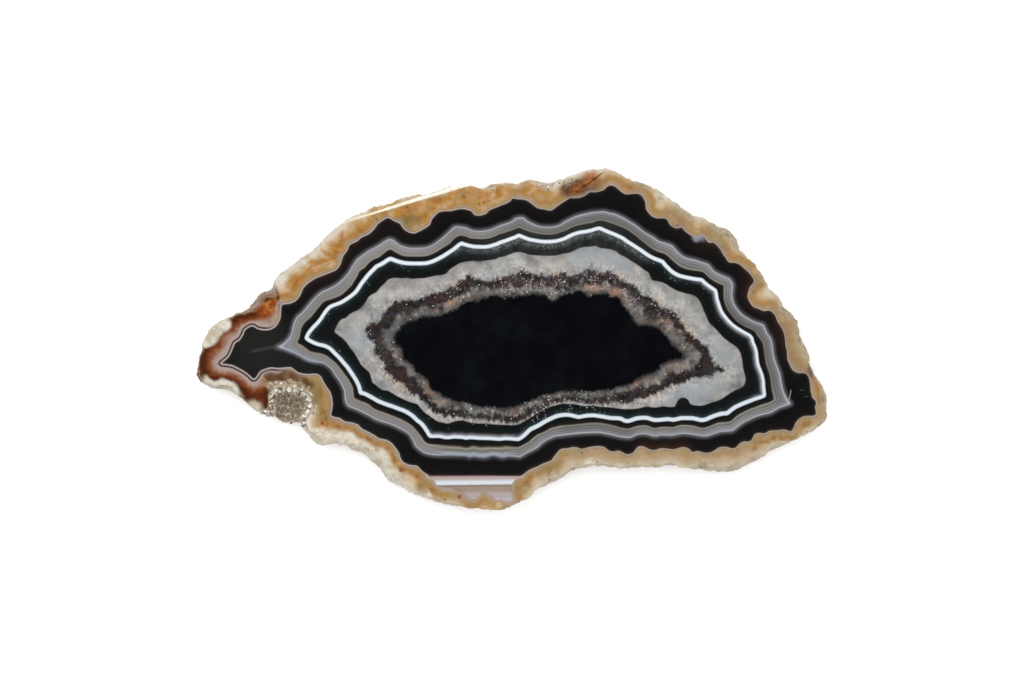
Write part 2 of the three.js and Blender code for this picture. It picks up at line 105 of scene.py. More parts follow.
GREY_OUTER = [
    (-37.1, -1.2), (-36.3, -0.75), (-35.65, -0.25), (-35.2, 0.3), (-34.8, 1.1), (-34.6, 2.05),
    (-34.35, 2.85), (-33.9, 3.6), (-33.1, 4.3), (-32.3, 5.25), (-31.5, 6.2), (-30.7, 7.0),
    (-29.9, 7.6), (-28.75, 8.1), (-27.6, 8.75), (-26.6, 9.65), (-25.8, 10.6), (-25.2, 11.6),
    (-24.55, 12.55), (-23.75, 13.25), (-22.8, 13.9), (-21.8, 14.45), (-20.85, 15.0),
    (-19.9, 15.65), (-19.25, 15.85), (-18.6, 15.6), (-18.0, 15.1), (-17.2, 14.7), (-16.05, 14.45),
    (-14.8, 14.45), (-13.5, 14.55), (-12.5, 14.95), (-11.55, 15.6), (-10.6, 16.4), (-9.8, 17.15),
    (-9.1, 17.75), (-8.15, 17.8), (-7.2, 17.6), (-6.4, 17.25), (-5.6, 17.1), (-4.5, 17.15),
    (-3.5, 17.35), (-2.7, 17.65), (-1.75, 18.05), (-0.95, 18.3), (-0.15, 18.6), (0.5, 19.1),
    (1.1, 19.25), (1.8, 19.2), (2.4, 18.7), (3.2, 18.3), (4.2, 17.9), (5.3, 17.75), (6.4, 17.8),
    (7.4, 18.05), (8.2, 18.55), (9.05, 19.0), (10.1, 19.45), (11.2, 19.75), (12.3, 20.0),
    (13.45, 20.15), (14.55, 20.2), (15.05, 20.05), (16.0, 19.85), (17.0, 19.5), (17.9, 19.0),
    (18.9, 18.4), (19.85, 17.75), (20.5, 17.2), (21.45, 16.6), (22.25, 16.15), (23.2, 15.5),
    (24.2, 15.2), (25.15, 14.85), (25.8, 14.2), (26.6, 13.4), (27.3, 12.95), (28.0, 12.75),
    (29.0, 12.5), (30.1, 12.15), (30.9, 11.85), (31.4, 11.3), (31.9, 10.75), (32.7, 10.3),
    (33.5, 9.95), (34.2, 9.65), (34.6, 9.2), (34.85, 8.6), (34.8, 7.8), (34.75, 7.0), (34.85, 6.2),
    (35.1, 5.5), (35.5, 4.9), (36.1, 4.2), (36.7, 3.7), (37.4, 3.25), (38.2, 2.85), (39.0, 2.55),
    (39.6, 2.35), (39.9, 1.8), (40.2, 1.1), (40.6, 0.5), (40.95, -0.2), (41.1, -1.1), (41.2, -2.0),
    (41.4, -3.0), (41.7, -3.9), (42.1, -4.9), (42.35, -5.8), (42.5, -6.8), (42.7, -7.7),
    (43.0, -8.6), (43.4, -9.4), (43.95, -10.15), (43.1, -10.5), (42.1, -10.85), (41.4, -11.25),
    (40.7, -11.65), (39.3, -11.95), (38.3, -12.3), (37.4, -12.7), (36.6, -13.1), (36.0, -13.5),
    (35.5, -13.9), (35.0, -14.3), (34.5, -14.5), (33.0, -14.6), (32.3, -14.8), (31.6, -15.0),
    (30.9, -15.25), (30.2, -15.3), (29.3, -15.2), (28.5, -15.05), (27.0, -14.9), (26.3, -15.0),
    (25.0, -15.2), (23.5, -15.15), (22.8, -15.3), (22.1, -15.25), (21.5, -15.05), (20.8, -14.95),
    (20.0, -15.0), (19.4, -15.2), (18.9, -15.45), (18.3, -15.55), (16.9, -15.4), (16.1, -15.2),
    (15.4, -15.05), (14.6, -14.9), (13.7, -14.75), (11.8, -14.8), (9.8, -14.95), (7.9, -15.2),
    (6.9, -15.3), (6.1, -15.6), (5.3, -16.0), (4.6, -16.5), (4.0, -17.05), (3.1, -17.55),
    (2.4, -17.9), (1.7, -18.3), (1.2, -18.6), (0.5, -18.5), (-0.7, -18.5), (-1.4, -18.7),
    (-2.2, -18.6), (-3.0, -18.4), (-3.7, -18.6), (-4.4, -18.75), (-5.2, -18.7), (-6.0, -18.55),
    (-6.8, -18.7), (-7.3, -18.5), (-8.8, -18.45), (-10.4, -18.4), (-12.0, -18.3), (-13.3, -18.1),
    (-13.9, -17.9), (-14.4, -17.6), (-14.9, -17.2), (-15.3, -16.8), (-15.5, -16.3),
    (-15.8, -15.7), (-16.2, -15.1), (-16.8, -14.6), (-17.5, -14.2), (-19.1, -13.45),
    (-20.9, -12.9), (-21.8, -12.5), (-22.7, -12.0), (-24.3, -11.2), (-25.2, -10.85),
    (-25.8, -10.6), (-26.2, -10.1), (-26.4, -9.4), (-26.5, -8.2), (-26.8, -7.4), (-27.3, -6.5),
    (-27.9, -5.7), (-28.4, -4.9), (-29.0, -4.3), (-29.8, -3.8), (-30.8, -3.6), (-31.9, -3.35),
    (-32.7, -3.05), (-33.5, -2.6), (-34.4, -2.15), (-35.3, -1.8), (-36.2, -1.5),
]
GREY_INNER = [
    (-33.9, -0.5), (-33.6, 0.3), (-33.3, 1.7), (-33.0, 2.3), (-32.4, 3.0), (-31.8, 3.5),
    (-30.9, 4.6), (-30.0, 5.7), (-29.4, 6.1), (-28.6, 6.35), (-27.9, 6.6), (-27.1, 6.95),
    (-26.5, 7.4), (-25.9, 8.0), (-25.3, 8.6), (-24.9, 9.3), (-24.5, 9.9), (-24.2, 10.6),
    (-23.9, 10.95), (-23.3, 11.3), (-22.9, 11.8), (-22.3, 12.35), (-21.7, 12.7), (-21.0, 13.0),
    (-20.4, 13.45), (-19.8, 13.95), (-19.2, 14.2), (-18.6, 13.9), (-17.9, 13.5), (-17.2, 13.2),
    (-16.3, 13.1), (-14.3, 13.1), (-13.4, 13.2), (-12.6, 13.5), (-11.9, 13.85), (-11.1, 14.35),
    (-10.4, 14.8), (-9.8, 15.2), (-9.1, 15.95), (-8.5, 16.3), (-8.0, 16.4), (-7.4, 16.3),
    (-6.7, 16.0), (-6.0, 15.9), (-5.2, 15.85), (-4.3, 15.85), (-3.5, 16.0), (-2.7, 16.3),
    (-2.1, 16.6), (-1.3, 16.8), (-0.5, 17.05), (0.2, 17.3), (0.9, 17.6), (1.3, 17.55),
    (1.9, 17.3), (2.5, 17.05), (3.3, 16.85), (4.2, 16.65), (5.2, 16.55), (6.2, 16.55),
    (7.0, 16.7), (7.8, 16.95), (8.6, 17.25), (9.3, 17.6), (10.1, 17.9), (11.0, 18.1),
    (12.0, 18.3), (12.8, 18.45), (13.4, 18.7), (14.1, 18.75), (14.7, 18.6), (16.0, 18.2),
    (16.8, 17.9), (17.6, 17.55), (18.3, 17.2), (19.0, 16.7), (19.7, 16.2), (20.3, 15.65),
    (21.0, 15.1), (21.7, 14.55), (22.4, 14.1), (23.2, 13.75), (24.0, 13.5), (24.6, 13.1),
    (25.1, 12.6), (25.7, 12.1), (26.3, 11.6), (27.0, 11.25), (27.8, 11.0), (28.8, 10.85),
    (29.7, 10.75), (30.3, 10.5), (30.9, 9.9), (31.5, 9.4), (32.2, 9.0), (32.8, 8.7), (33.3, 8.55),
    (33.35, 8.0), (33.35, 7.2), (33.4, 6.4), (33.55, 5.7), (33.8, 5.0), (34.2, 4.3), (34.7, 3.7),
    (35.2, 3.1), (35.8, 2.6), (36.5, 2.15), (37.2, 1.8), (38.0, 1.45), (38.35, 1.2), (38.6, 0.7),
    (39.0, 0.2), (39.35, -0.3), (39.6, -1.0), (39.75, -1.9), (39.85, -2.8), (40.0, -3.6),
    (40.2, -4.4), (40.5, -5.2), (40.7, -6.0), (40.8, -6.8), (40.9, -7.6), (41.05, -8.4),
    (41.2, -9.1), (41.25, -9.5), (40.6, -9.9), (39.8, -10.15), (38.9, -10.45), (38.0, -10.8),
    (37.1, -11.15), (36.3, -11.55), (35.6, -11.95), (35.1, -12.35), (34.6, -12.8), (34.1, -13.0),
    (33.3, -13.05), (32.5, -13.15), (31.8, -13.4), (31.1, -13.7), (30.5, -13.9), (29.9, -13.95),
    (29.2, -13.8), (28.5, -13.6), (27.0, -13.5), (26.3, -13.55), (25.7, -13.75), (25.1, -13.85),
    (23.7, -13.8), (22.5, -14.0), (21.9, -13.85), (21.3, -13.6), (20.5, -13.55), (19.8, -13.65),
    (19.1, -13.85), (18.5, -14.05), (17.8, -14.05), (17.0, -13.9), (16.2, -13.65), (15.4, -13.45),
    (14.6, -13.3), (13.7, -13.15), (11.9, -13.2), (10.2, -13.4), (8.2, -13.55), (7.4, -13.65),
    (6.7, -13.85), (6.1, -14.0), (5.4, -14.4), (4.8, -14.7), (4.1, -14.95), (3.6, -15.3),
    (3.1, -15.7), (2.6, -16.15), (2.1, -16.45), (1.6, -16.7), (1.1, -16.95), (0.4, -17.0),
    (-1.0, -16.8), (-1.8, -16.9), (-4.2, -16.9), (-5.0, -16.95), (-5.7, -16.8), (-6.4, -16.75),
    (-7.0, -17.0), (-7.7, -16.95), (-8.4, -16.8), (-10.8, -16.7), (-12.4, -16.6), (-13.1, -16.5),
    (-13.6, -16.3), (-14.0, -15.9), (-14.3, -15.4), (-14.7, -14.9), (-15.2, -14.3),
    (-15.7, -13.75), (-16.3, -13.3), (-17.0, -12.9), (-17.8, -12.5), (-18.7, -12.15),
    (-19.6, -11.8), (-20.5, -11.45), (-21.4, -11.15), (-22.0, -10.8), (-22.6, -10.3),
    (-23.3, -9.95), (-24.0, -9.7), (-24.6, -9.45), (-24.95, -9.2), (-25.05, -8.5), (-25.15, -7.7),
    (-25.5, -6.9), (-26.0, -6.1), (-26.6, -5.3), (-27.2, -4.5), (-27.8, -3.8), (-28.5, -3.2),
    (-29.3, -2.6), (-30.2, -2.25), (-31.1, -2.1), (-31.9, -1.9), (-32.5, -1.45), (-33.2, -0.95),
]
WHITE_OUTER = [
    (-32.75, 0.25), (-32.5, 0.9), (-32.1, 1.5), (-31.5, 2.2), (-31.0, 2.7), (-30.5, 3.3),
    (-30.1, 3.9), (-29.7, 4.5), (-29.3, 5.0), (-28.75, 5.45), (-28.0, 5.75), (-27.2, 6.05),
    (-26.6, 6.4), (-26.0, 6.8), (-25.4, 7.25), (-24.9, 7.7), (-24.5, 8.25), (-24.1, 8.9),
    (-23.6, 9.55), (-23.1, 10.2), (-22.6, 10.75), (-22.1, 11.25), (-21.6, 11.75), (-21.0, 12.05),
    (-20.4, 12.4), (-19.8, 12.8), (-19.2, 13.05), (-18.6, 12.85), (-17.9, 12.6), (-17.1, 12.4),
    (-16.0, 12.3), (-14.0, 12.3), (-13.1, 12.45), (-12.3, 12.75), (-11.5, 13.15), (-10.8, 13.55),
    (-10.1, 14.0), (-9.5, 14.4), (-9.0, 14.8), (-8.5, 15.2), (-8.0, 15.45), (-7.5, 15.3),
    (-6.8, 15.1), (-6.0, 14.95), (-5.1, 14.9), (-4.2, 14.9), (-3.4, 15.05), (-2.6, 15.3),
    (-1.9, 15.6), (-1.1, 15.85), (-0.3, 16.15), (0.4, 16.4), (1.0, 16.7), (1.5, 16.55),
    (2.1, 16.3), (2.8, 16.05), (3.6, 15.9), (4.5, 15.75), (5.5, 15.7), (6.5, 15.75), (7.3, 15.9),
    (8.1, 16.15), (8.9, 16.55), (9.7, 16.9), (10.6, 17.15), (11.6, 17.3), (12.5, 17.5),
    (13.3, 17.75), (13.9, 17.8), (14.5, 17.55), (15.3, 17.2), (16.1, 16.9), (16.9, 16.55),
    (17.6, 16.2), (18.3, 15.7), (19.0, 15.25), (19.7, 14.8), (20.4, 14.35), (21.1, 13.85),
    (21.8, 13.4), (22.5, 13.05), (23.3, 12.75), (23.9, 12.5), (24.3, 12.0), (24.8, 11.5),
    (25.3, 11.0), (25.9, 10.6), (26.6, 10.3), (27.4, 10.1), (28.4, 9.9), (29.3, 9.75),
    (30.0, 9.65), (30.5, 9.2), (31.1, 8.7), (31.85, 8.2), (32.3, 7.8), (32.45, 7.2), (32.55, 6.5),
    (32.75, 5.8), (33.0, 5.1), (33.3, 4.4), (33.8, 3.7), (34.3, 3.1), (34.9, 2.5), (35.5, 2.05),
    (36.2, 1.6), (36.9, 1.2), (37.6, 0.8), (38.0, 0.3), (38.2, -0.4), (38.5, -1.1), (38.75, -2.0),
    (38.85, -2.9), (39.0, -3.9), (39.35, -4.8), (39.65, -5.6), (39.85, -6.6), (39.9, -7.5),
    (40.0, -8.3), (40.0, -9.0), (39.4, -9.35), (38.6, -9.6), (37.7, -9.95), (36.8, -10.3),
    (36.0, -10.65), (35.2, -11.05), (34.6, -11.5), (34.0, -11.95), (33.1, -12.05), (32.2, -12.3),
    (31.3, -12.65), (30.6, -12.95), (29.8, -13.05), (29.1, -12.9), (28.3, -12.75), (26.7, -12.75),
    (26.0, -12.9), (25.3, -13.0), (24.5, -12.9), (22.8, -13.05), (22.0, -12.95), (21.2, -12.7),
    (20.3, -12.7), (19.6, -12.8), (19.0, -13.0), (18.3, -13.2), (17.6, -13.1), (17.0, -12.8),
    (16.2, -12.75), (15.4, -12.7), (14.6, -12.55), (13.0, -12.3), (12.2, -12.3), (11.3, -12.4),
    (10.5, -12.55), (9.8, -12.4), (9.1, -12.25), (8.3, -12.2), (7.6, -12.3), (7.0, -12.45),
    (6.1, -12.85), (5.5, -13.15), (4.9, -13.5), (4.3, -13.85), (3.6, -14.2), (3.0, -14.5),
    (2.5, -15.0), (2.0, -15.45), (1.5, -15.8), (1.0, -16.05), (0.3, -16.0), (-1.1, -15.9),
    (-1.9, -16.0), (-3.5, -15.9), (-5.1, -15.85), (-6.6, -15.75), (-7.3, -15.85), (-7.9, -15.7),
    (-9.3, -15.65), (-10.0, -15.75), (-10.8, -15.7), (-11.5, -15.55), (-12.9, -15.55),
    (-13.3, -15.3), (-13.6, -14.8), (-14.0, -14.2), (-14.5, -13.55), (-15.2, -13.0),
    (-15.8, -12.4), (-16.5, -11.9), (-17.3, -11.5), (-18.1, -11.2), (-18.9, -10.9),
    (-19.8, -10.6), (-20.6, -10.3), (-21.3, -10.0), (-22.0, -9.6), (-22.7, -9.2), (-23.4, -8.85),
    (-24.1, -8.65), (-24.3, -8.1), (-24.5, -7.4), (-24.9, -6.6), (-25.4, -5.8), (-25.8, -5.2),
    (-26.3, -4.5), (-26.9, -3.8), (-27.5, -3.1), (-28.2, -2.4), (-28.9, -1.7), (-29.7, -1.3),
    (-30.6, -1.1), (-31.4, -0.8), (-32.2, -0.4), (-32.6, -0.1),
]
QUARTZ_OUTER = [
    (-28.0, 1.2), (-27.8, 1.9), (-27.3, 2.7), (-26.9, 3.15), (-26.2, 3.4), (-25.7, 3.9),
    (-25.0, 4.3), (-24.2, 4.7), (-23.6, 5.2), (-23.1, 5.9), (-22.7, 6.6), (-22.1, 7.1),
    (-21.5, 7.4), (-21.0, 7.9), (-20.6, 8.4), (-20.0, 8.9), (-19.6, 9.4), (-19.1, 9.6),
    (-18.4, 9.7), (-17.4, 9.6), (-16.6, 9.65), (-15.8, 9.55), (-14.8, 9.6), (-13.9, 9.65),
    (-12.8, 9.85), (-12.0, 10.05), (-11.1, 10.15), (-10.4, 10.4), (-10.0, 10.85), (-9.6, 11.2),
    (-9.1, 11.5), (-8.5, 11.9), (-7.8, 12.15), (-7.0, 12.3), (-6.2, 12.35), (-5.3, 12.3),
    (-4.4, 12.4), (-3.5, 12.5), (-2.7, 12.6), (-2.2, 12.85), (-1.6, 13.0), (-0.9, 13.2),
    (-0.2, 13.45), (0.4, 13.7), (1.2, 13.75), (1.8, 13.65), (2.5, 13.4), (3.4, 13.25),
    (4.5, 13.2), (5.6, 13.15), (6.6, 13.2), (7.4, 13.3), (8.0, 13.5), (8.8, 13.6), (9.6, 13.9),
    (10.3, 14.25), (11.2, 14.55), (12.3, 14.6), (13.2, 14.7), (13.7, 14.45), (14.6, 14.3),
    (15.6, 14.2), (16.4, 13.85), (16.9, 13.4), (17.8, 13.0), (18.6, 12.45), (19.5, 11.95),
    (20.1, 11.5), (20.8, 10.95), (21.4, 10.6), (21.7, 10.1), (22.0, 9.4), (22.7, 9.2),
    (23.6, 9.0), (24.2, 8.7), (25.0, 8.2), (25.9, 7.7), (26.8, 7.4), (27.6, 7.2), (28.4, 7.0),
    (29.0, 6.7), (29.5, 6.1), (29.9, 5.4), (30.2, 4.5), (30.6, 3.6), (31.0, 2.75), (31.6, 2.1),
    (32.2, 1.5), (32.8, 0.85), (33.4, 0.2), (34.2, -0.4), (35.0, -0.95), (35.6, -1.5),
    (36.0, -2.1), (36.2, -3.0), (36.35, -4.0), (36.5, -5.0), (36.75, -5.8), (36.8, -6.6),
    (36.5, -7.3), (36.0, -7.7), (35.3, -7.95), (34.5, -8.4), (33.8, -8.85), (33.2, -9.3),
    (32.4, -9.65), (31.5, -9.95), (30.6, -10.25), (29.9, -10.45), (29.2, -10.45), (28.5, -10.35),
    (28.1, -10.2), (27.9, -9.8), (27.6, -9.4), (27.1, -9.2), (26.5, -9.3), (26.1, -9.7),
    (25.8, -10.3), (25.6, -10.65), (24.8, -10.65), (23.8, -10.55), (22.9, -10.7), (22.0, -10.7),
    (21.2, -10.6), (20.2, -10.8), (19.3, -10.95), (18.3, -11.0), (17.2, -10.95), (16.2, -10.8),
    (15.2, -10.7), (14.0, -10.65), (13.2, -10.5), (12.5, -10.45), (11.8, -10.55), (11.0, -10.5),
    (10.3, -10.3), (9.6, -10.2), (8.0, -10.15), (7.2, -10.3), (6.4, -10.5), (5.6, -10.8),
    (4.8, -11.2), (4.0, -11.6), (3.3, -12.05), (2.6, -12.5), (1.9, -12.9), (1.2, -13.3),
    (0.5, -13.5), (-0.3, -13.5), (-2.0, -13.45), (-4.0, -13.3), (-6.0, -13.2), (-7.0, -13.0),
    (-7.6, -12.8), (-8.2, -12.75), (-9.0, -12.9), (-9.6, -13.1), (-10.2, -13.25), (-11.0, -13.1),
    (-11.8, -12.9), (-12.4, -12.5), (-13.0, -12.1), (-13.6, -11.7), (-14.1, -11.2),
    (-14.6, -10.6), (-15.1, -10.15), (-15.8, -9.95), (-16.6, -9.7), (-17.4, -9.3), (-18.2, -8.9),
    (-19.0, -8.4), (-19.6, -8.1), (-20.3, -8.0), (-21.0, -7.65), (-21.5, -7.2), (-22.0, -6.8),
    (-22.2, -6.2), (-22.35, -5.6), (-22.6, -5.1), (-23.2, -4.6), (-23.9, -3.9), (-24.3, -3.1),
    (-24.8, -2.3), (-25.5, -1.4), (-26.1, -0.5), (-26.8, 0.2), (-27.4, 0.7),
]
SEAM_OUTER = [
    (-21.5, -2.1), (-21.6, -1.0), (-21.9, -0.3), (-22.8, 0.1), (-22.7, 0.8), (-22.9, 1.3),
    (-22.5, 2.0), (-21.9, 2.6), (-21.3, 2.3), (-21.0, 2.7), (-20.6, 3.3), (-20.2, 4.0),
    (-19.8, 4.5), (-19.3, 5.0), (-18.9, 5.5), (-18.2, 5.7), (-17.4, 5.9), (-16.5, 6.0),
    (-15.8, 6.2), (-15.0, 6.3), (-14.2, 6.5), (-13.3, 6.8), (-12.5, 7.0), (-11.7, 7.1),
    (-11.0, 7.4), (-10.4, 7.7), (-9.6, 8.1), (-9.0, 8.3), (-8.5, 8.9), (-7.6, 9.3), (-6.9, 9.7),
    (-6.3, 9.5), (-5.5, 9.5), (-4.7, 9.3), (-4.0, 9.2), (-3.2, 9.1), (-2.6, 9.2), (-2.0, 9.5),
    (-1.4, 9.8), (-0.7, 9.9), (0.0, 9.95), (0.7, 10.1), (1.3, 10.6), (2.0, 10.5), (2.8, 10.2),
    (3.5, 9.9), (4.3, 9.9), (4.8, 10.1), (5.4, 9.9), (6.0, 10.1), (6.5, 9.8), (7.2, 9.9),
    (7.9, 10.3), (8.6, 10.0), (9.3, 9.9), (10.2, 10.15), (11.0, 10.6), (11.7, 10.9), (12.1, 11.3),
    (12.6, 10.9), (13.2, 10.8), (14.0, 10.5), (14.8, 10.6), (15.6, 10.3), (16.3, 10.2),
    (16.8, 9.6), (17.5, 9.1), (18.2, 8.7), (19.0, 8.6), (19.5, 8.1), (20.0, 7.6), (20.5, 7.0),
    (21.1, 6.8), (21.8, 6.5), (22.5, 6.0), (23.0, 5.4), (23.6, 4.9), (24.3, 4.6), (25.1, 4.4),
    (25.9, 3.9), (26.2, 3.1), (26.8, 2.4), (27.2, 1.7), (27.5, 1.0), (28.2, 0.5), (28.9, 0.1),
    (29.5, -0.4), (30.0, -1.0), (30.8, -1.2), (31.0, -2.0), (31.2, -2.9), (31.5, -3.5),
    (32.0, -4.3), (32.9, -4.4), (33.2, -4.8), (32.4, -4.9), (31.6, -5.2), (31.4, -5.7),
    (30.5, -5.8), (29.6, -5.8), (28.8, -5.9), (27.9, -6.1), (27.1, -6.5), (26.2, -6.7),
    (25.3, -6.9), (24.6, -7.3), (23.8, -7.7), (23.0, -8.1), (22.3, -8.4), (21.5, -8.7),
    (20.9, -9.0), (20.2, -9.2), (19.2, -9.6), (18.2, -9.85), (16.0, -9.85), (14.0, -10.05),
    (12.5, -10.0), (11.0, -10.05), (10.3, -9.9), (9.4, -9.75), (8.5, -9.65), (7.6, -9.75),
    (6.8, -9.95), (6.0, -10.2), (5.2, -10.55), (4.4, -10.9), (3.6, -11.4), (2.9, -11.9),
    (2.2, -12.35), (1.5, -12.7), (0.8, -12.95), (0.0, -12.95), (-2.0, -12.75), (-4.0, -12.6),
    (-5.0, -12.5), (-7.0, -12.2), (-8.0, -12.1), (-10.0, -11.95), (-10.8, -11.9), (-11.6, -11.6),
    (-12.2, -11.2), (-12.8, -10.7), (-13.3, -10.2), (-13.9, -9.8), (-14.5, -9.3), (-14.8, -8.8),
    (-15.6, -8.5), (-16.0, -8.0), (-16.7, -7.6), (-17.2, -7.0), (-17.9, -6.6), (-18.5, -6.1),
    (-19.0, -5.6), (-19.6, -5.0), (-19.9, -4.6), (-19.6, -4.2), (-19.8, -3.7), (-20.3, -3.4),
    (-20.9, -2.8),
]
SEAM_INNER = [
    (-20.9, 0.0), (-20.9, 1.6), (-20.3, 2.0), (-19.6, 2.2), (-19.0, 2.6), (-18.8, 3.2),
    (-18.8, 4.0), (-18.3, 4.3), (-17.5, 4.35), (-16.6, 4.3), (-15.9, 4.7), (-15.2, 5.0),
    (-14.5, 5.3), (-13.6, 5.5), (-11.8, 5.5), (-11.0, 5.7), (-10.3, 6.0), (-9.3, 6.6),
    (-8.4, 6.9), (-7.5, 7.2), (-6.9, 7.7), (-6.2, 8.2), (-5.4, 8.3), (-4.6, 8.4), (-4.0, 8.2),
    (-3.3, 8.1), (-1.8, 8.0), (-1.1, 8.1), (-0.5, 8.5), (0.0, 8.3), (0.4, 7.9), (0.9, 7.9),
    (1.6, 8.2), (2.0, 8.7), (2.6, 9.1), (3.2, 9.2), (3.8, 8.8), (4.5, 8.4), (5.2, 8.3),
    (6.0, 8.1), (6.9, 8.0), (7.4, 8.3), (7.9, 9.0), (8.6, 9.1), (9.4, 9.0), (10.7, 9.2),
    (11.5, 9.2), (12.0, 8.8), (13.0, 8.85), (13.9, 8.95), (14.8, 9.2), (15.5, 8.8), (16.3, 8.6),
    (17.2, 8.3), (18.0, 7.8), (18.5, 7.3), (19.3, 6.9), (19.8, 6.2), (20.3, 5.6), (20.7, 5.0),
    (20.9, 4.3), (21.3, 3.7), (22.0, 3.1), (22.7, 3.0), (23.3, 3.4), (24.0, 3.6), (24.9, 3.3),
    (25.2, 2.7), (25.3, 2.0), (26.0, 1.4), (26.5, 0.7), (27.0, 0.1), (27.5, -0.5), (28.0, -1.0),
    (28.6, -2.0), (28.9, -2.9), (28.3, -3.6), (27.4, -4.1), (26.7, -4.7), (26.0, -5.2),
    (25.2, -5.5), (24.4, -5.9), (23.2, -6.5), (22.4, -6.7), (21.8, -7.2), (20.9, -7.6),
    (20.0, -7.7), (19.2, -8.0), (18.2, -8.3), (17.3, -8.5), (16.5, -8.9), (15.6, -9.1),
    (14.0, -9.25), (11.0, -9.35), (10.0, -9.2), (9.0, -9.1), (8.0, -9.15), (7.0, -9.35),
    (6.0, -9.6), (5.0, -10.0), (4.0, -10.5), (3.3, -10.95), (2.6, -11.4), (1.9, -11.7),
    (1.2, -12.0), (0.4, -12.2), (-0.5, -12.2), (-3.0, -12.0), (-5.0, -11.9), (-6.0, -11.8),
    (-7.0, -11.5), (-7.8, -11.2), (-10.2, -11.1), (-11.0, -11.0), (-11.7, -10.7), (-12.3, -10.2),
    (-12.8, -9.7), (-13.2, -9.3), (-13.2, -8.8), (-13.9, -8.4), (-14.5, -7.9), (-15.0, -7.3),
    (-15.4, -6.8), (-15.9, -6.3), (-16.4, -5.8), (-16.8, -5.2), (-17.2, -4.8), (-18.1, -4.7),
    (-18.8, -4.4), (-19.0, -3.6), (-19.1, -2.9), (-19.5, -2.2), (-20.2, -2.1), (-20.6, -1.4),
]
HEART = [
    (-18.55, -0.3), (-18.6, 0.3), (-18.3, 0.9), (-17.9, 1.4), (-17.4, 2.0), (-16.8, 2.5),
    (-16.0, 2.8), (-14.8, 3.2), (-14.2, 3.5), (-13.3, 3.5), (-11.6, 3.7), (-10.8, 3.9),
    (-10.2, 4.1), (-9.2, 4.6), (-8.6, 4.8), (-8.3, 5.2), (-7.6, 5.6), (-6.8, 5.9), (-6.1, 6.0),
    (-5.4, 5.9), (-4.9, 6.3), (-3.5, 6.6), (-2.8, 6.8), (-2.0, 6.7), (-1.3, 6.5), (-0.7, 6.7),
    (0.5, 6.6), (1.2, 6.8), (3.0, 7.0), (3.9, 7.1), (4.8, 7.0), (5.4, 6.7), (6.0, 6.1),
    (6.5, 6.0), (7.2, 6.3), (7.6, 6.8), (8.3, 7.0), (9.0, 7.3), (10.5, 7.5), (11.5, 7.3),
    (11.9, 6.7), (12.3, 6.7), (12.7, 7.1), (13.5, 7.0), (15.0, 7.2), (15.4, 6.7), (16.2, 6.6),
    (17.0, 6.3), (17.3, 5.6), (17.6, 5.0), (18.2, 4.5), (18.6, 3.8), (19.1, 3.2), (19.5, 2.6),
    (20.1, 2.3), (22.0, 2.05), (22.9, 1.8), (23.5, 1.4), (24.0, 0.8), (24.4, 0.2), (24.9, -0.4),
    (25.4, -1.0), (25.9, -1.5), (26.5, -2.0), (27.0, -2.5), (27.1, -2.9), (26.4, -3.1),
    (25.5, -3.2), (24.8, -3.5), (24.0, -3.7), (23.4, -4.2), (23.0, -4.8), (22.4, -5.2),
    (21.6, -5.4), (20.9, -5.7), (20.2, -6.0), (19.5, -6.4), (18.7, -6.9), (18.0, -7.2),
    (16.4, -7.5), (15.6, -7.8), (14.0, -8.0), (12.0, -8.15), (8.0, -8.15), (7.0, -8.3),
    (6.2, -8.5), (4.6, -8.8), (3.9, -9.2), (3.2, -9.5), (2.4, -9.8), (1.7, -10.1), (1.0, -10.4),
    (0.3, -10.6), (-1.3, -10.9), (-2.1, -10.9), (-3.0, -10.6), (-4.6, -10.6), (-6.2, -10.3),
    (-6.9, -10.0), (-8.3, -9.8), (-9.2, -9.7), (-10.0, -9.3), (-10.8, -9.0), (-11.4, -8.6),
    (-12.1, -8.2), (-12.7, -7.7), (-13.1, -7.0), (-13.4, -6.3), (-14.0, -5.9), (-14.6, -5.5),
    (-15.2, -4.9), (-15.6, -4.2), (-16.0, -3.8), (-16.8, -3.4), (-17.2, -2.8), (-17.3, -1.5),
    (-17.8, -1.2), (-18.3, -0.9),
]

# Where the stone's middle lies in the frame, because the lines above were drawn about another point
MIDDLE = np.array([-0.05, -0.05])
CURVE_STEPS = 12
LINE_SPACING = 0.1
MARK_SPACING = 0.2


def smooth_line(points):
    """Evenly spaced points on a smooth closed line through the given ones."""
    here = np.array(points) + MIDDLE
    before, after, beyond = np.roll(here, 1, 0), np.roll(here, -1, 0), np.roll(here, -2, 0)
    share = np.linspace(0, 1, CURVE_STEPS, endpoint=False)[:, None, None]
    bend = 2 * before - 5 * here + 4 * after - beyond
    twist = 3 * here - before - 3 * after + beyond
    curve = here + ((after - before) * share + bend * share**2 + twist * share**3) / 2
    return evenly_spaced(curve.transpose(1, 0, 2).reshape(-1, 2))


def spread_along(path, spacing, closed):
    """Evenly spaced points along a run of straight stretches."""
    travelled = np.concatenate([[0], np.cumsum(np.hypot(*np.diff(path, axis=0).T))])
    count = round(travelled[-1] / spacing) + (0 if closed else 1)
    stops = np.linspace(0, travelled[-1], count, endpoint=not closed)
    return np.column_stack([np.interp(stops, travelled, path[:, axis]) for axis in (0, 1)])


def evenly_spaced(points):
    return spread_along(np.vstack([points, points[:1]]), LINE_SPACING, closed=True)


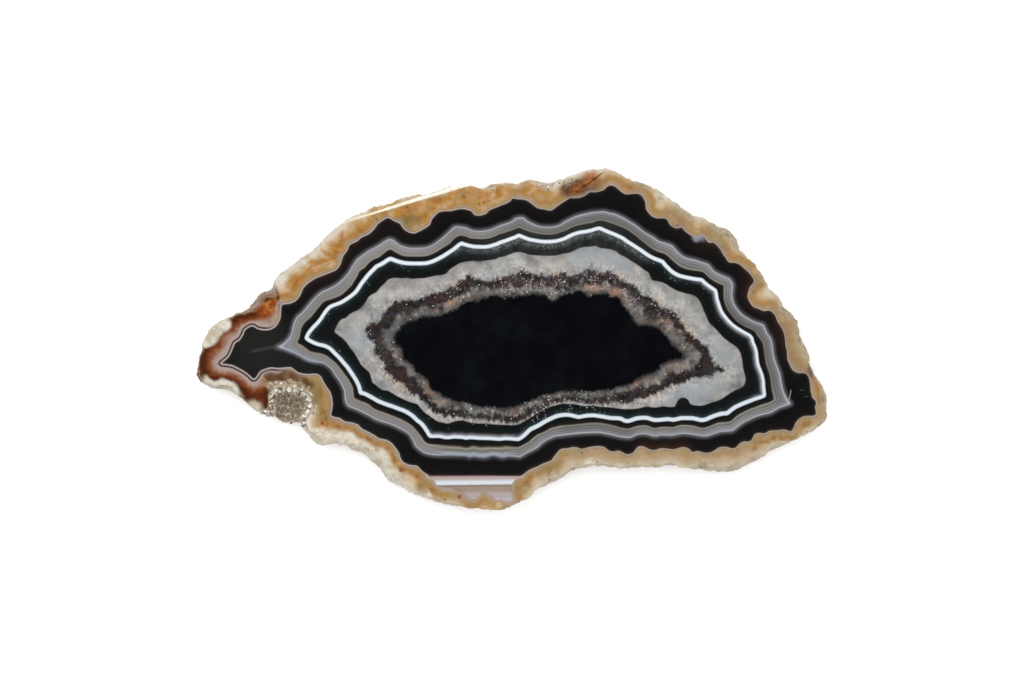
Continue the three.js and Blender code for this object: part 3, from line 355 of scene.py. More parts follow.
class Line:
    """A closed line on the face, which tells how deep a place lies inside it."""

    def __init__(self, points):
        self.points = points
        self.steps = np.roll(points, -1, 0) - points
        self.tree = kdtree.KDTree(len(points))
        for index, (x, y) in enumerate(points):
            self.tree.insert((x, y, 0), index)
        self.tree.balance()

    def measure(self, places):
        """Depth inside the line in millimetres, negative outside it, and how far along it lies."""
        nearest = np.array([self.tree.find((x, y, 0))[1] for x, y in places])
        before = self.offsets(places, nearest - 1)
        after = self.offsets(places, nearest)
        use_before = (before[1] < after[1])[:, None]
        gap = np.where(use_before, before[0], after[0])
        at_corner = np.isclose(before[1], after[1])[:, None]
        own_step = np.where(use_before, self.steps[nearest - 1], self.steps[nearest])
        tangent = np.where(at_corner, self.steps[nearest - 1] + self.steps[nearest], own_step)
        inside = tangent[:, 1] * gap[:, 0] - tangent[:, 0] * gap[:, 1] > 0
        distance = np.minimum(before[1], after[1])
        return np.where(inside, distance, -distance), nearest * LINE_SPACING

    def offsets(self, places, index):
        step = self.steps[index]
        reach = places - self.points[index]
        share = np.clip((reach * step).sum(1) / (step**2).sum(1), 0, 1)
        gap = reach - share[:, None] * step
        return gap, np.hypot(*gap.T)


# The shape: the frame's skin and pocket, made finer, between two flat faces of small triangles
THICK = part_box("agate_slice")[1].z / MM
SAME_PLACE = 1e-7
SAME_LEVEL = 1e-3
FACE_PITCH = 0.34
BACK_PITCH = 0.62
CLEAR_OF_EDGE = 0.55
CLEAR_OF_MARK = 0.45
POCKET_MIDDLE = np.array([-35.35, -10.75])
POCKET_REACH = 4.6

# The straight edge ground on the upper left, with the width of its bevel at either end
GROUND_START = np.array([-26.55, 18.3])
GROUND_END = np.array([-6.65, 24.2])
GROUND_WIDTHS = (0.2, 1.0)
GROUND_HEIGHT = 1.3

# Relief of the skin: the fineness and the height of its lumps and grit, and its sharp little pits
RELIEF = [(0.7, 0.22), (1.6, 0.20), (4.1, 0.07)]
PIT_FINENESS = 1.5
PIT_RARITY = 0.28
PIT_DEPTH = 0.7
PIT_PLACE = Vector((9, 4, 2))
POCKET_RELIEF = 0.15
GROUND_RELIEF = 0.04
GROUND_APPROACH = 0.3
FACING_UP = 0.5
SHARP_ANGLE = math.radians(38)


def into_scene(name, data):
    made = bpy.data.objects.new(name, data)
    bpy.context.scene.collection.objects.link(made)
    return made


def piece_from(name, places, faces):
    """A piece in the scene, from places in millimetres and faces."""
    mesh = bpy.data.meshes.new(name)
    mesh.from_pydata([Vector(place) * MM for place in places], [], faces)
    return into_scene(name, mesh)


def fine_side(node):
    """The frame's wall and pocket in millimetres, without its two faces, as smooth small quads."""
    shell = bmesh.new()
    shell.from_mesh(node.data)
    bmesh.ops.remove_doubles(shell, verts=shell.verts, dist=SAME_PLACE)
    for height in (0, THICK):
        flat = [f for f in shell.faces if all(abs(v.co.z / MM - height) < SAME_LEVEL for v in f.verts)]
        bmesh.ops.delete(shell, geom=flat, context="FACES")
    bmesh.ops.join_triangles(shell, faces=shell.faces, angle_face_threshold=3, angle_shape_threshold=3)
    bmesh.ops.scale(shell, vec=Vector((1 / MM,) * 3), verts=shell.verts)
    mesh = bpy.data.meshes.new("side")
    shell.to_mesh(mesh)
    side = into_scene("side", mesh)
    finer = side.modifiers.new("finer", "SUBSURF")
    finer.levels = 2
    fine = side.evaluated_get(bpy.context.evaluated_depsgraph_get()).to_mesh()
    places = np.array([v.co for v in fine.vertices])
    normals = np.array([v.normal for v in fine.vertices])
    faces = [tuple(p.vertices) for p in fine.polygons]
    bpy.data.objects.remove(side)
    return places, normals, faces


def open_loops(faces):
    """The closed runs of vertices along the open sides of a set of faces."""
    ahead = {}
    for face in faces:
        for a, b in zip(face, face[1:] + face[:1]):
            ahead[a, b] = True
    onward = {b: a for a, b in ahead if (b, a) not in ahead}
    loops = []
    while onward:
        first = here = next(iter(onward))
        loop = []
        while here in onward:
            loop.append(here)
            here = onward.pop(here)
        assert here == first
        loops.append(loop)
    return loops


def roughness_at(place):
    """Fine relief of the skin in millimetres."""
    lumps = sum(noise.noise(place * fineness) * height for fineness, height in RELIEF)
    return lumps - max(0.0, noise.noise(place * PIT_FINENESS + PIT_PLACE) - PIT_RARITY) * PIT_DEPTH


def rough_skin(places, normals):
    """Moves the wall by its relief. Its two open edges keep their heights, so the faces stay flat."""
    moved = places.copy()
    across = places[:, :2] - POCKET_MIDDLE
    facing_in = (across * normals[:, :2]).sum(1) < 0
    in_pocket = (np.hypot(*across.T) < POCKET_REACH) & (facing_in | (normals[:, 2] > FACING_UP))
    on_edge = (places[:, 2] <= 0) | (places[:, 2] >= THICK)
    for i, (place, normal) in enumerate(zip(places, normals)):
        share = POCKET_RELIEF if in_pocket[i] else 1.0
        if ground_depth_of(place) > -GROUND_APPROACH:
            share = GROUND_RELIEF
        push = normal * roughness_at(Vector(place)) * share
        if on_edge[i]:
            push[2] = 0
        moved[i] += push
    moved[:, 2] = np.clip(moved[:, 2], 0, THICK)
    return moved, in_pocket


def ground_depth_of(place):
    """How deep a place lies inside the ground bevel, in millimetres, negative outside it."""
    along = GROUND_END - GROUND_START
    length = np.hypot(*along)
    offset = place[:2] - GROUND_START
    travelled = offset @ along / length
    across = (along[0] * offset[1] - along[1] * offset[0]) / length
    narrow, wide = GROUND_WIDTHS
    width = narrow + (wide - narrow) * travelled / length
    return min(across, width - across, travelled, length - travelled, place[2] - (THICK - GROUND_HEIGHT))


# Hair-thin marks on the face: a crack in the rind and scratches on the black by the right tip
CRACK = [(10.0, 23.2), (11.2, 24.1), (12.6, 25.0), (13.9, 26.0), (14.7, 26.6)]
SCRATCH = [(43.95, -8.0), (43.85, -8.8), (43.6, -9.5)]
HAIRLINES = [
    [(45.4, -8.05), (46.1, -7.98)],
    [(46.05, -9.1), (46.7, -8.95)],
    [(46.85, -6.4), (47.05, -7.4), (46.95, -8.3)],
]


def reach_to(path, places):
    """Distance from each place to an open run of straight stretches, in millimetres."""
    nearest = np.full(len(places), np.inf)
    for start, stop in zip(np.array(path[:-1]) + MIDDLE, np.array(path[1:]) + MIDDLE):
        step = stop - start
        share = np.clip((places - start) @ step / (step @ step), 0, 1)
        nearest = np.minimum(nearest, np.hypot(*(places - start - share[:, None] * step).T))
    return nearest


def steps_along(path):
    return spread_along(np.array(path) + MIDDLE, MARK_SPACING, closed=False)


def flat_face(loop, places, pitch, height, marks=()):
    """Small triangles that fill a loop of the wall's vertices, with the new places among them."""
    border = places[loop][:, :2]
    if twice_area(border) > 0:
        border, loop = border[::-1], loop[::-1]
    rim = Line(evenly_spaced(border))
    low, high = border.min(0), border.max(0)
    inner = []
    for row, y in enumerate(np.arange(low[1], high[1], pitch * math.sqrt(0.75))):
        start = low[0] + (row % 2) * pitch / 2
        inner += [(x, y) for x in np.arange(start, high[0], pitch)]
    inner = np.array(inner)
    for mark in marks:
        inner = np.vstack([inner[reach_to(mark, inner) > pitch * CLEAR_OF_MARK], steps_along(mark)])
    inner = inner[rim.measure(inner)[0] > pitch * CLEAR_OF_EDGE]
    known = np.vstack([border, inner])
    ring = [(i, (i + 1) % len(border)) for i in range(len(border))]
    found = delaunay_2d_cdt([Vector(p) for p in known], ring, [], 1, 1e-6)
    names = {}
    for index, sources in enumerate(found[3]):
        source = min(sources)
        names[index] = loop[source] if source < len(border) else source - len(border) + len(places)
    faces = [tuple(names[i] for i in face) for face in found[2]]
    flat = np.column_stack([inner, np.full(len(inner), height)])
    return flat, faces, rim


def twice_area(points):
    x, y = points.T
    return (x * np.roll(y, -1) - np.roll(x, -1) * y).sum()


side, side_normals, side_faces = fine_side(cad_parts["agate_slice"])
side, in_pocket = rough_skin(side, side_normals)
edges = sorted(open_loops(side_faces), key=lambda loop: side[loop][:, 2].mean())
assert len(edges) == 2
back, back_faces, _ = flat_face(edges[0], side, BACK_PITCH, 0.0)
stone_places = np.vstack([side, back])
marks = [CRACK, SCRATCH, *HAIRLINES]
face, face_faces, face_rim = flat_face(edges[1], stone_places, FACE_PITCH, THICK, marks)
stone_places = np.vstack([stone_places, face])


def outward(faces, places, up):
    """The same triangles, all wound so that they face up or down."""
    corners = places[np.array(faces)][:, :, :2]
    across, along = corners[:, 1] - corners[:, 0], corners[:, 2] - corners[:, 0]
    turned = (across[:, 0] * along[:, 1] - across[:, 1] * along[:, 0] > 0) != up
    return [face[::-1] if flip else face for face, flip in zip(faces, turned)]


stone_faces = side_faces + outward(back_faces, stone_places, False) + outward(face_faces, stone_places, True)
stone = piece_from("agate_stone", stone_places, stone_faces)
stone_mesh = stone.data
stone_mesh.shade_smooth()
stone_mesh.set_sharp_from_angle(angle=SHARP_ANGLE)


# Soft spots of colour, each as x, y, reach and strength
SPOTS = {
    "arm": [
        (-47.5, -4.5, 4.5, 1.2), (-43.0, -1.0, 4.0, 0.8), (-41.0, 4.0, 3.6, 1.0), (-38.8, 6.6, 2.0, 1.1),
        (-42.5, -8.0, 3.6, 1.0), (-39.8, -9.6, 1.7, 1.0), (-37.4, -5.4, 1.6, 0.6),
    ],
    "cream_edge": [
        (-48.0, -6.6, 1.2, 0.8), (-46.0, -7.4, 1.6, 1.2), (-44.2, -8.4, 1.4, 0.9), (-40.8, -11.0, 1.5, 1.1),
    ],
    "gold": [
        (-34.5, 9.0, 2.2, 0.8), (-31.0, 11.6, 2.2, 0.8), (-28.0, 14.0, 2.2, 0.8), (-24.5, 17.0, 2.2, 0.8),
        (-20.5, 20.3, 2.4, 0.9), (-16.0, 19.5, 3.0, 1.0), (-12.5, 21.3, 2.6, 0.9), (-9.0, 22.3, 2.0, 0.6),
        (-6.4, 22.8, 2.0, 0.9), (-3.0, 22.4, 2.2, 0.8), (-1.0, 24.2, 1.4, 0.6), (5.4, 23.0, 1.8, 0.8),
        (2.4, 24.2, 2.0, 0.7), (-30.4, -13.6, 1.8, 0.9),
        (-26.8, -13.6, 1.6, 0.8), (-23.0, -15.6, 1.6, 0.7), (-18.6, -19.6, 1.6, 0.8), (21.5, 22.0, 2.4, 0.4),
        (-2.0, -26.2, 2.2, 0.6), (30.5, 17.2, 2.0, 0.4), (42.5, -15.0, 2.2, 0.5), (38.6, 11.5, 1.8, 0.5),
    ],
    "orange": [
        (-38.9, 4.6, 1.3, 1.2), (-37.6, 5.4, 1.2, 0.8), (-15.3, 21.0, 1.8, 0.45),
        (-4.7, 22.6, 1.2, 0.7), (10.0, 23.6, 1.6, 0.7),
        (12.6, 25.8, 1.6, 0.8), (18.2, 24.2, 1.6, 0.6), (-31.4, 12.0, 1.0, 0.6), (-27.0, 16.0, 1.2, 0.6),
        (45.5, -13.2, 2.6, 0.35), (48.2, -7.6, 1.4, 0.6), (39.4, 8.6, 1.2, 0.5),
        (4.0, -20.6, 1.6, 0.5), (-10.4, -24.6, 1.4, 0.4),
    ],
    "milk": [
        (-48.2, -0.4, 1.1, 1.1), (-47.0, 1.2, 1.2, 1.2), (-45.4, 2.4, 1.1, 1.1),
        (-36.8, 9.6, 1.7, 0.7), (-33.4, 12.2, 1.6, 0.5),
        (-29.8, 15.6, 1.6, 0.5), (-25.2, -16.4, 2.8, 1.1), (-21.5, -18.8, 2.8, 1.1), (-18.2, -22.0, 2.2, 1.0),
        (-31.2, -15.6, 1.8, 1.1), (-28.2, -16.0, 1.8, 0.9), (-13.5, -24.6, 2.0, 0.5), (22.8, 22.2, 1.3, 0.7),
        (40.6, 7.4, 1.2, 0.9), (6.6, -22.0, 1.6, 0.5), (12.5, -19.9, 1.8, 0.5),
        (17.0, -20.4, 1.6, 0.5), (31.0, -20.8, 1.4, 0.4),
    ],
    "khaki": [
        (12.0, 23.6, 2.6, 0.8), (20.0, 24.0, 2.4, 0.5), (26.0, 18.8, 3.0, 0.8), (33.0, 16.2, 3.0, 0.9),
        (38.0, 9.4, 3.0, 0.6), (43.5, 2.5, 3.4, 1.0), (46.0, -3.0, 3.0, 0.9), (48.6, -11.0, 2.4, 0.4),
    ],
    "beige": [
        (46.0, -13.8, 3.4, 0.8), (40.0, -16.8, 3.6, 0.9), (33.0, -19.4, 3.6, 1.0), (26.0, -19.0, 3.6, 1.0),
        (18.0, -19.4, 3.6, 1.0), (11.0, -19.2, 3.2, 0.9), (5.0, -22.0, 3.0, 0.6), (-9.0, -25.6, 2.2, 0.5),
    ],
    "druse": [
        (5.5, 24.5, 1.4, 1.1), (8.8, 24.9, 1.2, 0.7), (-3.3, 24.3, 1.0, 0.9), (-8.6, 24.0, 0.8, 0.7),
        (23.5, 22.2, 0.7, 0.8), (-26.2, -16.0, 0.6, 0.9), (-24.2, -17.0, 0.6, 0.9), (-21.8, -19.0, 0.6, 0.7),
        (49.2, -8.4, 0.7, 0.8), (-31.2, -11.2, 0.9, 0.8), (-31.0, -13.4, 0.6, 0.7), (30.0, -20.8, 0.8, 0.6),
        (-38.2, -7.4, 0.8, 0.9), (-36.8, -7.1, 0.8, 1.0), (-35.2, -7.0, 0.8, 1.0), (-33.8, -7.2, 0.8, 1.0),
        (-32.6, -7.9, 0.8, 0.9), (-31.8, -9.0, 0.7, 0.8),
        (25.5, -20.2, 0.6, 0.6), (35.5, -20.6, 0.6, 0.5),
    ],
    "haze": [
        (-8.0, 14.4, 3.0, 0.5), (-2.0, 14.6, 4.0, 0.8), (4.0, 15.0, 4.0, 1.0), (10.0, 16.0, 4.0, 1.0),
        (15.0, 16.0, 3.5, 0.9), (20.0, 13.6, 3.0, 0.7), (26.0, 10.0, 2.5, 0.4),
    ],
    "glow": [
        (30.0, 7.0, 3.0, 0.8), (34.0, 3.0, 3.5, 1.1), (37.0, -2.0, 3.5, 1.1), (39.0, -7.0, 3.0, 0.9),
        (-11.4, -14.8, 1.8, 1.0), (-8.4, -14.8, 1.8, 1.0), (-5.4, -14.8, 1.8, 1.0), (-2.4, -14.8, 1.8, 1.0),
        (0.4, -14.6, 1.6, 0.9),
    ],
    "brown": [
        (8.4, 23.4, 1.5, 0.9), (10.6, 24.0, 1.7, 0.9), (13.0, 24.6, 1.5, 0.8), (15.4, 25.4, 1.3, 0.3),
        (-38.6, -5.4, 1.0, 1.0), (-37.2, -5.6, 1.1, 1.1), (-35.8, -5.9, 1.1, 1.2), (-34.3, -6.2, 1.1, 1.1),
        (-33.0, -6.8, 1.1, 0.9), (-31.8, -7.6, 1.0, 0.5), (-38.2, -7.6, 1.0, 0.6), (47.3, -5.3, 1.3, 0.9),
        (48.8, -9.4, 1.2, 0.6),
    ],
    "belt": [
        (-29.4, -8.6, 1.8, 1.0), (-29.6, -12.4, 1.8, 1.0), (-26.6, -14.4, 2.2, 1.0), (-22.8, -16.4, 2.2, 1.0),
        (-19.4, -19.0, 2.2, 1.0), (-16.0, -21.4, 2.2, 1.0), (-12.4, -23.4, 1.8, 0.8), (2.4, -22.0, 1.6, 0.8),
        (-34.6, 8.2, 1.6, 0.6), (46.0, -13.0, 2.4, 1.0), (42.4, -15.2, 2.4, 1.0), (38.4, -16.4, 2.0, 0.8),
        (48.4, -9.6, 1.6, 0.8),
    ],
    "red_dot": [
        (-8.3, -24.8, 0.45, 1.0), (-30.0, -13.3, 0.4, 0.9), (-17.6, -20.7, 0.4, 0.9), (5.8, -22.2, 0.35, 0.8),
        (9.6, -20.5, 0.3, 0.8), (13.4, -19.4, 0.3, 0.8), (-13.6, -24.0, 0.3, 0.7), (-4.5, 21.6, 0.35, 0.7),
    ],
    "olive": [
        (-16.0, 18.0, 2.2, 0.8), (-31.6, -8.2, 2.2, 0.9), (-38.6, -6.2, 1.6, 0.6), (-29.6, -11.4, 2.0, 0.7),
        (-14.0, -23.2, 1.8, 0.6), (6.0, -20.6, 2.2, 0.6), (1.5, -23.4, 1.8, 0.6),
    ],
    "warm": [
        (-30.0, 10.0, 7.0, 0.5), (-20.0, 16.0, 6.0, 0.4), (24.0, -17.0, 4.0, 1.3), (42.0, 0.0, 4.0, 0.7),
        (38.0, 8.0, 4.0, 0.7), (30.0, 15.0, 4.0, 0.5),
    ],
    "dusk": [
        (-40.0, -1.0, 6.0, 1.2), (-32.0, -7.0, 4.0, 0.8), (-22.0, -14.0, 5.0, 0.5), (30.6, 15.2, 2.0, 0.5),
    ],
    "peach": [
        (-20.0, -2.0, 1.8, 1.0), (-18.5, -5.6, 1.8, 1.1), (-16.4, -8.4, 1.6, 0.8), (27.5, 2.0, 1.5, 1.1),
        (23.4, 6.4, 1.2, 0.8), (20.8, -8.4, 1.8, 0.9), (24.0, -7.0, 1.6, 0.6), (-9.0, 8.6, 1.4, 0.9),
        (6.6, 10.4, 1.0, 0.8), (17.0, 10.2, 1.2, 0.8),
    ],
    "bluish": [
        (12.0, 12.4, 3.4, 1.2), (17.0, 11.6, 2.6, 0.8), (32.0, -2.0, 3.4, 0.9), (30.0, -7.4, 3.4, 0.9),
        (26.0, -10.0, 3.0, 0.7), (-3.6, 9.4, 1.4, 0.8), (-24.0, 0.0, 3.0, 0.9), (-14.0, -11.6, 3.0, 0.5),
        (-19.0, 1.6, 2.6, 1.0), (-16.6, -4.4, 2.0, 0.7), (-15.0, 5.0, 2.0, 0.4),
    ],
    "blush": [
        (12.4, 8.0, 1.8, 1.0), (16.6, 6.9, 1.8, 1.0), (-9.5, 6.2, 1.5, 0.9), (-12.6, -8.6, 2.0, 1.0),
        (24.2, 1.9, 1.6, 0.9), (-16.0, -5.0, 1.5, 0.7), (20.0, -7.2, 2.0, 0.8),
    ],
    "slim_seam": [(28.4, -3.4, 3.4, 1.0), (25.4, 0.8, 2.4, 0.6), (23.0, -6.8, 2.4, 0.5)],
    "sparkling": [
        (0.0, 9.0, 4.0, 0.9), (8.0, 9.6, 4.0, 1.1), (13.0, 9.4, 4.0, 1.1), (19.0, 7.4, 3.5, 0.8),
        (4.0, -10.6, 4.0, 0.9), (12.0, -10.0, 4.0, 1.0), (-5.0, -11.2, 3.4, 0.8), (-9.0, 7.6, 3.0, 0.7),
        (-22.0, -2.0, 3.0, 0.5), (24.0, 4.0, 3.0, 0.6),
    ],
    "blue_tip": [
        (-34.6, -1.0, 1.5, 1.3), (-32.0, -3.4, 1.6, 0.9), (-29.4, -6.0, 1.6, 0.6), (29.3, 15.9, 1.1, 1.0),
    ],
    "flat_part": [(-10.0, -17.6, 3.2, 0.8), (-6.0, -17.6, 3.2, 0.8), (-1.6, -17.6, 3.2, 0.8)],
}

# The flat layers that settled under the bands, outlined clockwise, a rusty vein along the rind, and
# a faint smear in the left arm
BED = [
    (-13.1, -21.5), (-6.0, -21.45), (1.4, -21.5), (0.65, -22.0), (0.2, -22.5), (-0.02, -23.0),
    (-0.04, -24.4), (-0.05, -25.6), (-1.6, -25.6), (-2.7, -25.3), (-3.5, -24.9), (-4.3, -24.45),
    (-5.1, -24.75), (-5.75, -25.2), (-6.7, -25.05), (-7.65, -24.6), (-8.15, -24.1), (-8.95, -23.75),
    (-10.0, -23.55), (-11.0, -23.4), (-11.8, -23.1), (-12.3, -22.35),
]
VEIN = [
    (-38.5, 6.9), (-36.8, 7.0), (-35.0, 7.2), (-34.3, 8.5), (-34.0, 9.5), (-32.5, 10.5), (-31.3, 11.9),
    (-30.0, 12.3), (-28.3, 12.5), (-28.0, 13.8), (-27.0, 15.0), (-26.8, 17.0),
]
SMEAR = [(-36.8, -1.1), (-38.6, -1.4), (-41.0, -1.9)]

# Each line and path, by the name under which its depth or distance goes into the material
LINES = {
    "in_rind": RIND_INNER,
    "in_bed": BED,
    "in_grey": GREY_OUTER,
    "past_grey": GREY_INNER,
    "in_white": WHITE_OUTER,
    "in_quartz": QUARTZ_OUTER,
    "in_seam": SEAM_OUTER,
    "past_seam": SEAM_INNER,
    "in_heart": HEART,
}
PATHS = {
    "from_vein": [VEIN],
    "from_crack": [CRACK],
    "from_smear": [SMEAR],
    "from_scratch": [SCRATCH],
    "from_hairline": HAIRLINES,
}
STRONGEST = 1.4


def strength_of(spots, places):
    total = np.zeros(len(places))
    for x, y, reach, strength in spots:
        total += strength * np.exp(-((places[:, 0] - x) ** 2 + (places[:, 1] - y) ** 2) / reach**2)
    return np.minimum(total, STRONGEST)


def give(mesh, name, values):
    mesh.attributes.new(name, "FLOAT", "POINT").data.foreach_set("value", np.asarray(values, np.float32))


plan = stone_places[:, :2]
give(stone_mesh, "in_skin", face_rim.measure(plan)[0])
for line_name, line_points in LINES.items():
    depth, travel = Line(smooth_line(line_points)).measure(plan)
    give(stone_mesh, line_name, depth)
    if line_name == "in_seam":
        give(stone_mesh, "along_seam", travel)
for spot_name, spots in SPOTS.items():
    give(stone_mesh, spot_name, strength_of(spots, plan))
for path_name, paths in PATHS.items():
    give(stone_mesh, path_name, np.min([reach_to(path, plan) for path in paths], axis=0))

# Skin, with the line between it and the face halfway, the sawn back, the ground edge and the pocket
HALF_SKIN = 0.5
GROUND_MARGIN = 0.1
ground_depth = np.array([ground_depth_of(place) for place in stone_places])
is_skin = np.zeros(len(stone_places))
is_skin[:len(side)] = 1
is_skin[edges[1]] = HALF_SKIN
is_skin[ground_depth > -GROUND_MARGIN] = 0
is_sawn = np.zeros(len(stone_places))
is_sawn[len(side):len(side) + len(back)] = 1
is_pocket = np.zeros(len(stone_places), bool)
is_pocket[:len(side)] = in_pocket
give(stone_mesh, "skin", is_skin)
give(stone_mesh, "sawn", is_sawn)
give(stone_mesh, "ground_depth", ground_depth)
for axis_name, values in zip(("eastward", "level", "up"), stone_places.T):
    give(stone_mesh, axis_name, values)
give(stone_mesh, "pocket", is_pocket)

# The flat map of the surface, from 0 to 1: where each part starts and how long a millimetre is on it
FACE_MAP = (0.01, 0.455, 0.0097)
BACK_MAP = (0.01, 0.12, 0.0060)
POCKET_MAP = (0.82, 0.285, 0.03)
WALL_MAP = (0.012, 0.005, 0.0062)
WALL_MAP_WIDTH = 0.94
WALL_MAP_ROW = 0.055
STONE_CORNER = (-50.1, -27.2)
WALL_LEAN = 0.7
WALL_FOOT = 1.5


def on_map(x, y, part, origin):
    left, low, scale = part
    return np.column_stack([left + (x - origin[0]) * scale, low + (y - origin[1]) * scale])


def flatten_out(mesh, name):
    """A map of the surface: the face large on top, then the back, the pocket and the unrolled wall."""
    starts = np.cumsum([0] + [len(f) for f in stone_faces[:-1]])
    owner = np.repeat(np.arange(len(stone_faces)), [len(f) for f in stone_faces])
    corner = np.concatenate([np.array(f) for f in stone_faces])
    x, y, z = stone_places[corner].T
    depth, travel = face_rim.measure(stone_places[:, :2])
    around = len(face_rim.points) * LINE_SPACING
    half = around / 2
    along = travel[corner]
    along = np.where(along - np.minimum.reduceat(along, starts)[owner] > half, along - around, along)
    lower_row = (np.maximum.reduceat(along, starts) > half)[owner]
    left, low, scale = WALL_MAP
    wall = np.column_stack([
        left + (along - lower_row * half) * WALL_MAP_WIDTH / half,
        low + lower_row * WALL_MAP_ROW + (z + WALL_LEAN * depth[corner] + WALL_FOOT) * scale,
    ])
    all_pocket = np.minimum.reduceat(is_pocket[corner], starts)[owner]
    is_back = (owner >= len(side_faces)) & (owner < len(side_faces) + len(back_faces))
    is_face = owner >= len(side_faces) + len(back_faces)
    spot = np.where(all_pocket[:, None], on_map(x, y, POCKET_MAP, POCKET_MIDDLE), wall)
    spot = np.where(is_back[:, None], on_map(x, y, BACK_MAP, STONE_CORNER), spot)
    spot = np.where(is_face[:, None], on_map(x, y, FACE_MAP, STONE_CORNER), spot)
    mesh.uv_layers.new(name=name).uv.foreach_set("vector", spot.astype(np.float32).ravel())


flatten_out(stone_mesh, "OFBake")


class Wire:
    """A value inside a material's nodes that sums and products can be written with."""

    tree = None

    def __init__(self, socket):
        self.socket = socket

    @classmethod
    def node(cls, kind, settings=None, inputs=None, output=0):
        made = cls.tree.nodes.new("ShaderNode" + kind)
        for name, value in (settings or {}).items():
            if name == "stops":
                set_stops(made.color_ramp, value)
            else:
                setattr(made, name, value)
        for name, value in (inputs or {}).items():
            if isinstance(value, Wire):
                cls.tree.links.new(value.socket, made.inputs[name])
            else:
                made.inputs[name].default_value = value
        return cls(made.outputs[output])

    def math(self, operation, *others):
        return Wire.node("Math", {"operation": operation}, dict(enumerate((self, *others))))

    def __add__(self, other):
        return self.math("ADD", other)

    __radd__ = __add__

    def __mul__(self, other):
        return self.math("MULTIPLY", other)

    __rmul__ = __mul__

    def __sub__(self, other):
        return self.math("SUBTRACT", other)

    def __rsub__(self, other):
        return (self * -1) + other

    def __truediv__(self, other):
        return self.math("DIVIDE", other)

    def __pow__(self, other):
        return self.math("POWER", other)

    def rise(self, low, high):
        """A soft step from 0 at the low value to 1 at the high one."""
        inputs = {"Value": self, "From Min": low, "From Max": high}
        return Wire.node("MapRange", {"interpolation_type": "SMOOTHSTEP"}, inputs)

    def band(self, start, stop, soft):
        """A stripe that is 1 between two values and fades over a soft width at each."""
        return self.rise(start - soft, start + soft) * (1 - self.rise(stop - soft, stop + soft))

    def ramp(self, *stops):
        """The colour that this value picks from a run of colours."""
        return Wire.node("ValToRGB", {"stops": stops}, {"Fac": self})

    def paint(self, colour, mask):
        """This colour with another laid over it where the mask is 1."""
        return Wire.node("Mix", {"data_type": "RGBA"}, {0: mask, 6: self, 7: colour}, 2)

    def into(self, shader, name):
        """Feeds one input of the shader that ends a material."""
        self.tree.links.new(self.socket, shader.inputs[name])


def set_stops(ramp, stops):
    while len(ramp.elements) < len(stops):
        ramp.elements.new(0.5)
    for element, (place, colour) in zip(ramp.elements, stops):
        element.position = place
        element.color = colour


LIT = 1.55


def tone(red, green, blue):
    """A colour from 0 to 255 as it looks when lit, in the linear scale that shaders use."""
    linear = [((c / 255 + 0.055) / 1.055) ** 2.4 if c > 10 else c / 255 / 12.92 for c in (red, green, blue)]
    return (*[c / LIT for c in linear], 1.0)


def value_of(name):
    return Wire.node("Attribute", {"attribute_name": name}, output="Fac")


def values_of(names):
    return [value_of(name) for name in names.split()]


def shifted_place(shift):
    """The place in the stone, moved so that two patterns of one kind don't coincide."""
    where = Wire.node("TexCoord", output="Object")
    return Wire.node("Mapping", None, {"Vector": where, "Location": (shift,) * 3}) if shift else where


def grain(size, detail=2.0, shift=0.0):
    """Cloudy noise from 0 to 1, with features of about this many millimetres."""
    inputs = {"Vector": shifted_place(shift), "Scale": 1 / (size * MM), "Detail": detail}
    return Wire.node("TexNoise", None, inputs, "Fac")


def cells(size, shift, output="Distance"):
    """Crystal cells of about this many millimetres."""
    return Wire.node("TexVoronoi", None, {"Vector": shifted_place(shift), "Scale": 1 / (size * MM)}, output)


def chance(size, shift):
    """A random value from 0 to 1 for each crystal cell."""
    return Wire.node("SeparateColor", None, {"Color": cells(size, shift, "Color")})


FULL_SHARE = 0.6
DOT_EDGE = (0.16, 0.42)


def glint_and_speck_dots(size, share, shift):
    """Small dots, one in this share of the crystal cells. The bright ones are painted glints, the dark ones
    specks in the stone.
    """
    picked = chance(size, shift).rise(1 - share, 1 - share * FULL_SHARE)
    return picked * (1 - cells(size, shift).rise(*DOT_EDGE))


def new_material(name):
    """A material that the next values are added to, and the shader that ends it."""
    material = bpy.data.materials.new(name)
    material.use_nodes = True
    Wire.tree = material.node_tree
    return material, material.node_tree.nodes["Principled BSDF"]


QUARTZ_IOR = 1.54
stone_material, shader = new_material("banded_agate_polish")
in_skin, in_rind, in_bed, in_grey, past_grey = values_of("in_skin in_rind in_bed in_grey past_grey")
in_white, in_quartz, in_seam, past_seam, in_heart = values_of("in_white in_quartz in_seam past_seam in_heart")
skin, arm, gold, milk = values_of("skin arm gold milk")
wobble = (grain(1.1, 3) - 0.5) * 0.12
eastward, level, up = values_of("eastward level up")

# Rind: an ochre belt by the border and paler, cloudy stone beyond it, with stretches of other colours
cloud = grain(3.0, 4)
mottle = grain(1.0, 4, shift=0.02)
patch = grain(1.8, 3, shift=0.09)
speckle = grain(0.30, 3, shift=0.05)
border = in_rind.math("MAXIMUM", in_bed) + wobble * 0.8
out = border * -1
soft_patch = patch * 0.5 + cloud * 0.35 + mottle * 0.15
drift = (patch - 0.5) * 1.4 + (cloud - 0.5) * 1.2 + (mottle - 0.5) * 0.5
rind = ((out + drift) / 3.4).ramp(
    (0.05, tone(172, 148, 114)), (0.20, tone(168, 134, 88)), (0.34, tone(164, 126, 74)),
    (0.42, tone(178, 144, 100)), (0.58, tone(200, 172, 134)), (0.80, tone(216, 200, 174)),
    (1.00, tone(224, 214, 196)))
across = out / (out + in_skin.math("MAXIMUM", 0.0) + 0.01)
uneven = across + drift * 0.20 + (mottle - 0.5) * 0.5
greenish = grain(1.5, 4, shift=0.11).rise(0.50, 0.62)
westward = 1 - eastward.rise(-20, 10)
